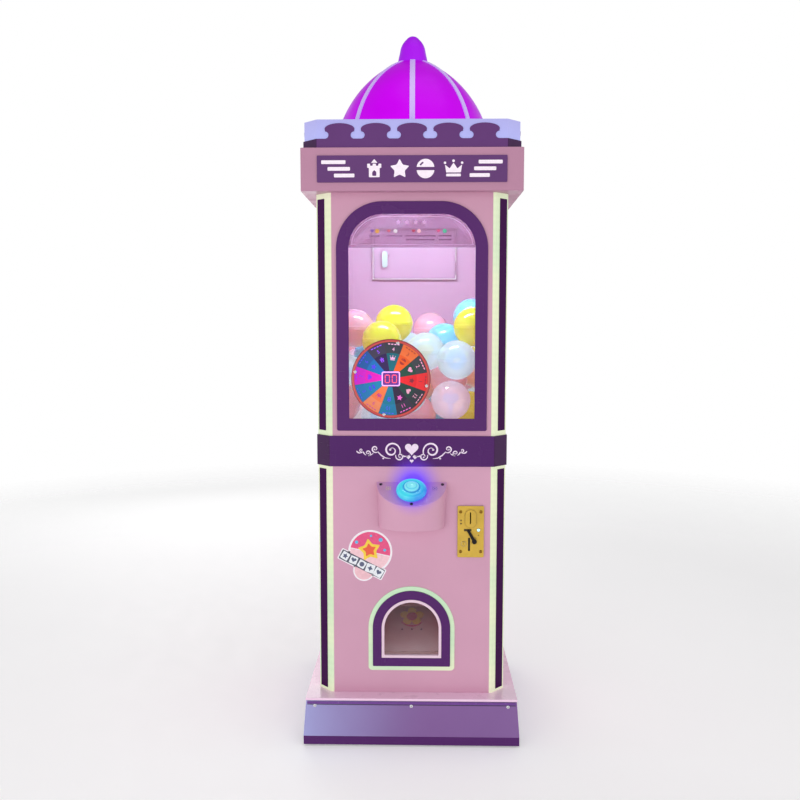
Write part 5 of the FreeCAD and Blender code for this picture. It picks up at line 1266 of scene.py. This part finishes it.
# ---- Coin unit trims ----------------------------------------------------------------------------
def make_coin_trims():
    """Lamp, key plug and cast marks on the coin plate."""
    low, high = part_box("coin_plate")
    centre = (low + high) / 2
    face_y = high.y - 3.5 * MM
    lamp = lathe_mesh([(0, 2.6), (1.4, 2.3), (2.4, 1.3), (2.7, 0.0)], 24)
    bezel = lathe_mesh([(2.6, 0), (2.6, 0.9), (3.1, 1.2), (3.9, 0.9), (4.2, 0)], 32)
    here = facing_front(centre.x + 19.3 * MM, face_y - 1.0 * MM, centre.z + 4.5 * MM)
    blue = vinyl("lamp_blue", rgb(150, 226, 255), rough=0.12, glow=1.5)
    steel = metal("lamp_rim", (0.7, 0.7, 0.7, 1), rough=0.2)
    piece("coin_lamp", [(placed(lamp, here), blue), (placed(bezel, here), steel)])
    brass = metal("lock_brass", (0.62, 0.48, 0.2, 1), rough=0.28)
    collar = lathe_mesh([(5.2, 0), (5.2, 1.2), (5.8, 1.7), (6.6, 1.4), (7.0, 0)], 40)
    here = facing_front(centre.x - 17.2 * MM, face_y, centre.z - 30.5 * MM)
    piece("coin_lock_collar", [(placed(collar, here), brass)])
    arcs = [wedge(inner, inner + 1.0, 150, 210, 6) for inner in (8.6, 11.2, 13.8)]
    marks = moved(arcs, 22, -20)
    marks += [[(-27, top), (-21, top), (-24, top - 4.5)] for top in (22, 30)]
    marks.append(circle(19.3, -9.0, 1.5, 16))
    here = facing_front(centre.x, face_y, centre.z)
    dark = vinyl("cast_marks", rgb(92, 66, 16))
    piece("coin_marks", [flat_part(marks, 0.3, here, dark)])


# ---- Capsules -----------------------------------------------------------------------------------
def capsule_places():
    """Centre and upward axis of every capsule, from the outer face of each half shell."""
    mesh = NODES["capsules"].data
    count = len(mesh.vertices)
    points = np.zeros(count * 3)
    mesh.vertices.foreach_get("co", points)
    points = points.reshape(-1, 3)
    keys, joined = np.unique(np.round(points * 1e6).astype(np.int64), axis=0, return_inverse=True)
    parent = list(range(len(keys)))

    def root(k):
        while parent[k] != k:
            parent[k] = parent[parent[k]]
            k = parent[k]
        return k

    joined = joined.ravel()
    for edge in mesh.edges:
        a, b = (root(joined[v]) for v in edge.vertices)
        if a != b:
            parent[a] = b
    groups = {}
    for k in range(len(keys)):
        groups.setdefault(root(k), []).append(k)
    places = []
    for members in groups.values():
        cloud = keys[members] * 1e-6
        system = np.c_[2 * cloud, np.ones(len(cloud))]
        centre = np.linalg.lstsq(system, (cloud ** 2).sum(1), rcond=None)[0][:3]
        axis = Vector(cloud.mean(0) - centre)
        found = next((p for p in places if (p[0] - Vector(centre)).length < 5 * MM), None)
        if found is None:
            places.append([Vector(centre), axis])
        elif axis.z > found[1].z:
            found[1] = axis
    for place in places:
        if place[1].length < 1 * MM:
            place[1] = Vector((0, 0, 1))
        place[1].normalize()
    return sorted(places, key=lambda p: (round(-p[0].z, 3), round(p[0].x, 3)))


def half_shell(radius, wall, lip):
    """Profile of one half: outer skin, lip at the seam, inner skin."""
    outer = arc_points(0, 0, radius - 0.35, 90, 7, 16)
    seam = [
        (radius - 0.5, 5.4), (radius - 0.05, 4.9), (radius, 2.4), (radius - 0.05, lip), (radius - wall, lip)]
    inner = arc_points(0, 0, radius - wall, 4, 90, 12)
    outer[0], inner[-1] = (0, radius - 0.35), (0, radius - wall)
    return outer + seam + inner


def capsule_plastic(name, colour):
    """Glossy pearly plastic that light sinks into a little, with a faint painted glow of its own colour."""
    g = Graph(name)
    base = g.mix(g.drift(14, 3, 0, 1), scaled(colour, 0.94), scaled(colour, 1.05))
    base = g.mix(g.range(g.noise(500, 1), 0.7, 0.8, 0, 0.12), base, scaled(colour, 0.8))
    rough = g.range(g.noise(30, 3, (1, 3, 1)), 0.35, 0.75, 0.1, 0.2)
    return g.surface(
        base, rough, g.bump(g.noise(9, 1), 0.0003), Coat_Weight=0.7, Coat_Roughness=0.02,
        Subsurface_Weight=0.35, Subsurface_Scale=0.012, Emission_Color=colour, Emission_Strength=0.15)


def milky(name, colour):
    """Clear capsule plastic with a milky haze, so what it holds shows only softly; the haze has a painted
    glow.
    """
    haze = with_alpha(colour, 0.36)
    return clear_sheet(name, (0.96, 0.97, 0.99, 1), haze, rough=0.02, mirror=0.6, glow=0.5)


def toy_mesh(kind):
    """Small puffy charm about 40 mm across."""
    if kind == 2:
        return lathe_mesh(arc_points(17, 0, 8.5, 0, 360, 20), 40)
    loop, thickness, bevel = ((star(0, 0, 24, waist=0.6), 16, 6), (heart(0, 0, 42), 18, 6.5))[kind]
    return placed(sheet_mesh([loop], thickness, bevel), Matrix.Translation((0, 0, -thickness / 2 * MM)))


def make_capsules():
    """Every capsule with its seam; the clear ones hold a charm."""
    dice = random.Random(12)
    colours = {
        "yellow": rgb(242, 224, 38), "pink": rgb(245, 168, 182), "blue": rgb(138, 205, 236),
        "peach": rgb(250, 190, 160),
    }
    plastics = {name: capsule_plastic("capsule_" + name, colour) for name, colour in colours.items()}
    clears = [milky("capsule_clear", rgb(216, 232, 240)), milky("capsule_rosy", rgb(240, 206, 220))]
    charm_colours = {
        "rose": rgb(244, 120, 160), "sky": rgb(110, 170, 240), "lemon": rgb(250, 226, 110),
        "mint": rgb(140, 220, 190),
    }
    charms = [capsule_plastic("charm_" + name, colour) for name, colour in charm_colours.items()]
    front_picks = (
        ((158, 1066), "blue"), ((-48, 1049), "yellow"), ((155, 1041), "yellow"), ((-149, 1037), "pink"),
        ((50, 1031), "pink"), ((-76, 1007), "yellow"), ((86, 1001), "blue"), ((35, 977), "clear"),
        ((112, 958), "clear"), ((98, 857), "rosy"),
    )
    bag = ["pink", "clear", "blue", "clear", "yellow", "rosy", "peach", "clear", "pink", "rosy"]
    same_place = 6
    shell = half_shell(50.0, 1.5, 0.05)
    groups = {}
    for index, (centre, axis) in enumerate(capsule_places()):
        kind = bag[index % len(bag)]
        for (u, v), name in front_picks:
            if max(abs(centre.x / MM - u), abs(centre.z / MM - v)) < same_place:
                kind = name
        spin = axis.to_track_quat("Z", "Y").to_matrix().to_4x4()
        here = Matrix.Translation(centre) @ spin
        flip = here @ Matrix.Rotation(math.pi, 4, "X")
        if kind in plastics:
            plastic = plastics[kind]
        else:
            plastic = clears[0] if kind == "clear" else clears[1]
            toy = toy_mesh(dice.randrange(3))
            turn = Matrix.Rotation(dice.uniform(0, 6.28), 4, "Z")
            pose = turn @ Matrix.Rotation(dice.uniform(0, 3.1), 4, "X")
            charm = placed(toy, here @ pose), charms[index % len(charms)]
            groups.setdefault("capsule_charms", []).append(charm)
        halves = [(placed(lathe_mesh(shell, 48), half), plastic) for half in (here, flip)]
        groups.setdefault("capsules_" + kind, []).extend(halves)
    made = [piece(name, parts, sharp=60) for name, parts in sorted(groups.items())]
    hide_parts("capsules")


# ---- Everything ---------------------------------------------------------------------------------
def make_lights():
    """Low soft key from the left front, a weaker fill, top and rear lights, and the chamber's lamp."""
    area_light("key", (-1.4, -2.4, 0.75), (0, 0, 0.5), 1.4, 8, (1.0, 0.99, 0.98))
    area_light("fill", (1.9, -2.3, 0.8), (0, 0, 0.6), 1.4, 3)
    area_light("top", (0.4, -0.6, 3.4), (0, 0, 1.6), 1.8, 13)
    area_light("rear", (-1.2, 2.8, 1.4), (0, 0, 0.8), 1.6, 14)
    low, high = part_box("chamber_lamp")
    place = Vector(((low.x + high.x) / 2, high.y + 4 * MM, (low.z + high.z) / 2 - 6 * MM))
    target = place + Vector((0, 0.42, -0.38))
    area_light("chamber", place, target, high.x - low.x, 2.7, (0.54, 0.84, 1.0), 36 * MM)


def main():
    make_camera()
    make_world()
    make_lights()
    make_floor()
    dress_cabinet()
    dress_crown()
    dress_window()
    dress_works()
    dress_controls()
    soften_edges()
    make_sign()
    make_ornament()
    make_dial()
    make_display()
    make_instructions()
    make_sticker()
    make_pocket_sticker()
    make_console_prints()
    make_skirt_bead()
    make_coin_trims()
    make_capsules()
    bpy.context.scene.view_settings.view_transform = "Standard"


main()
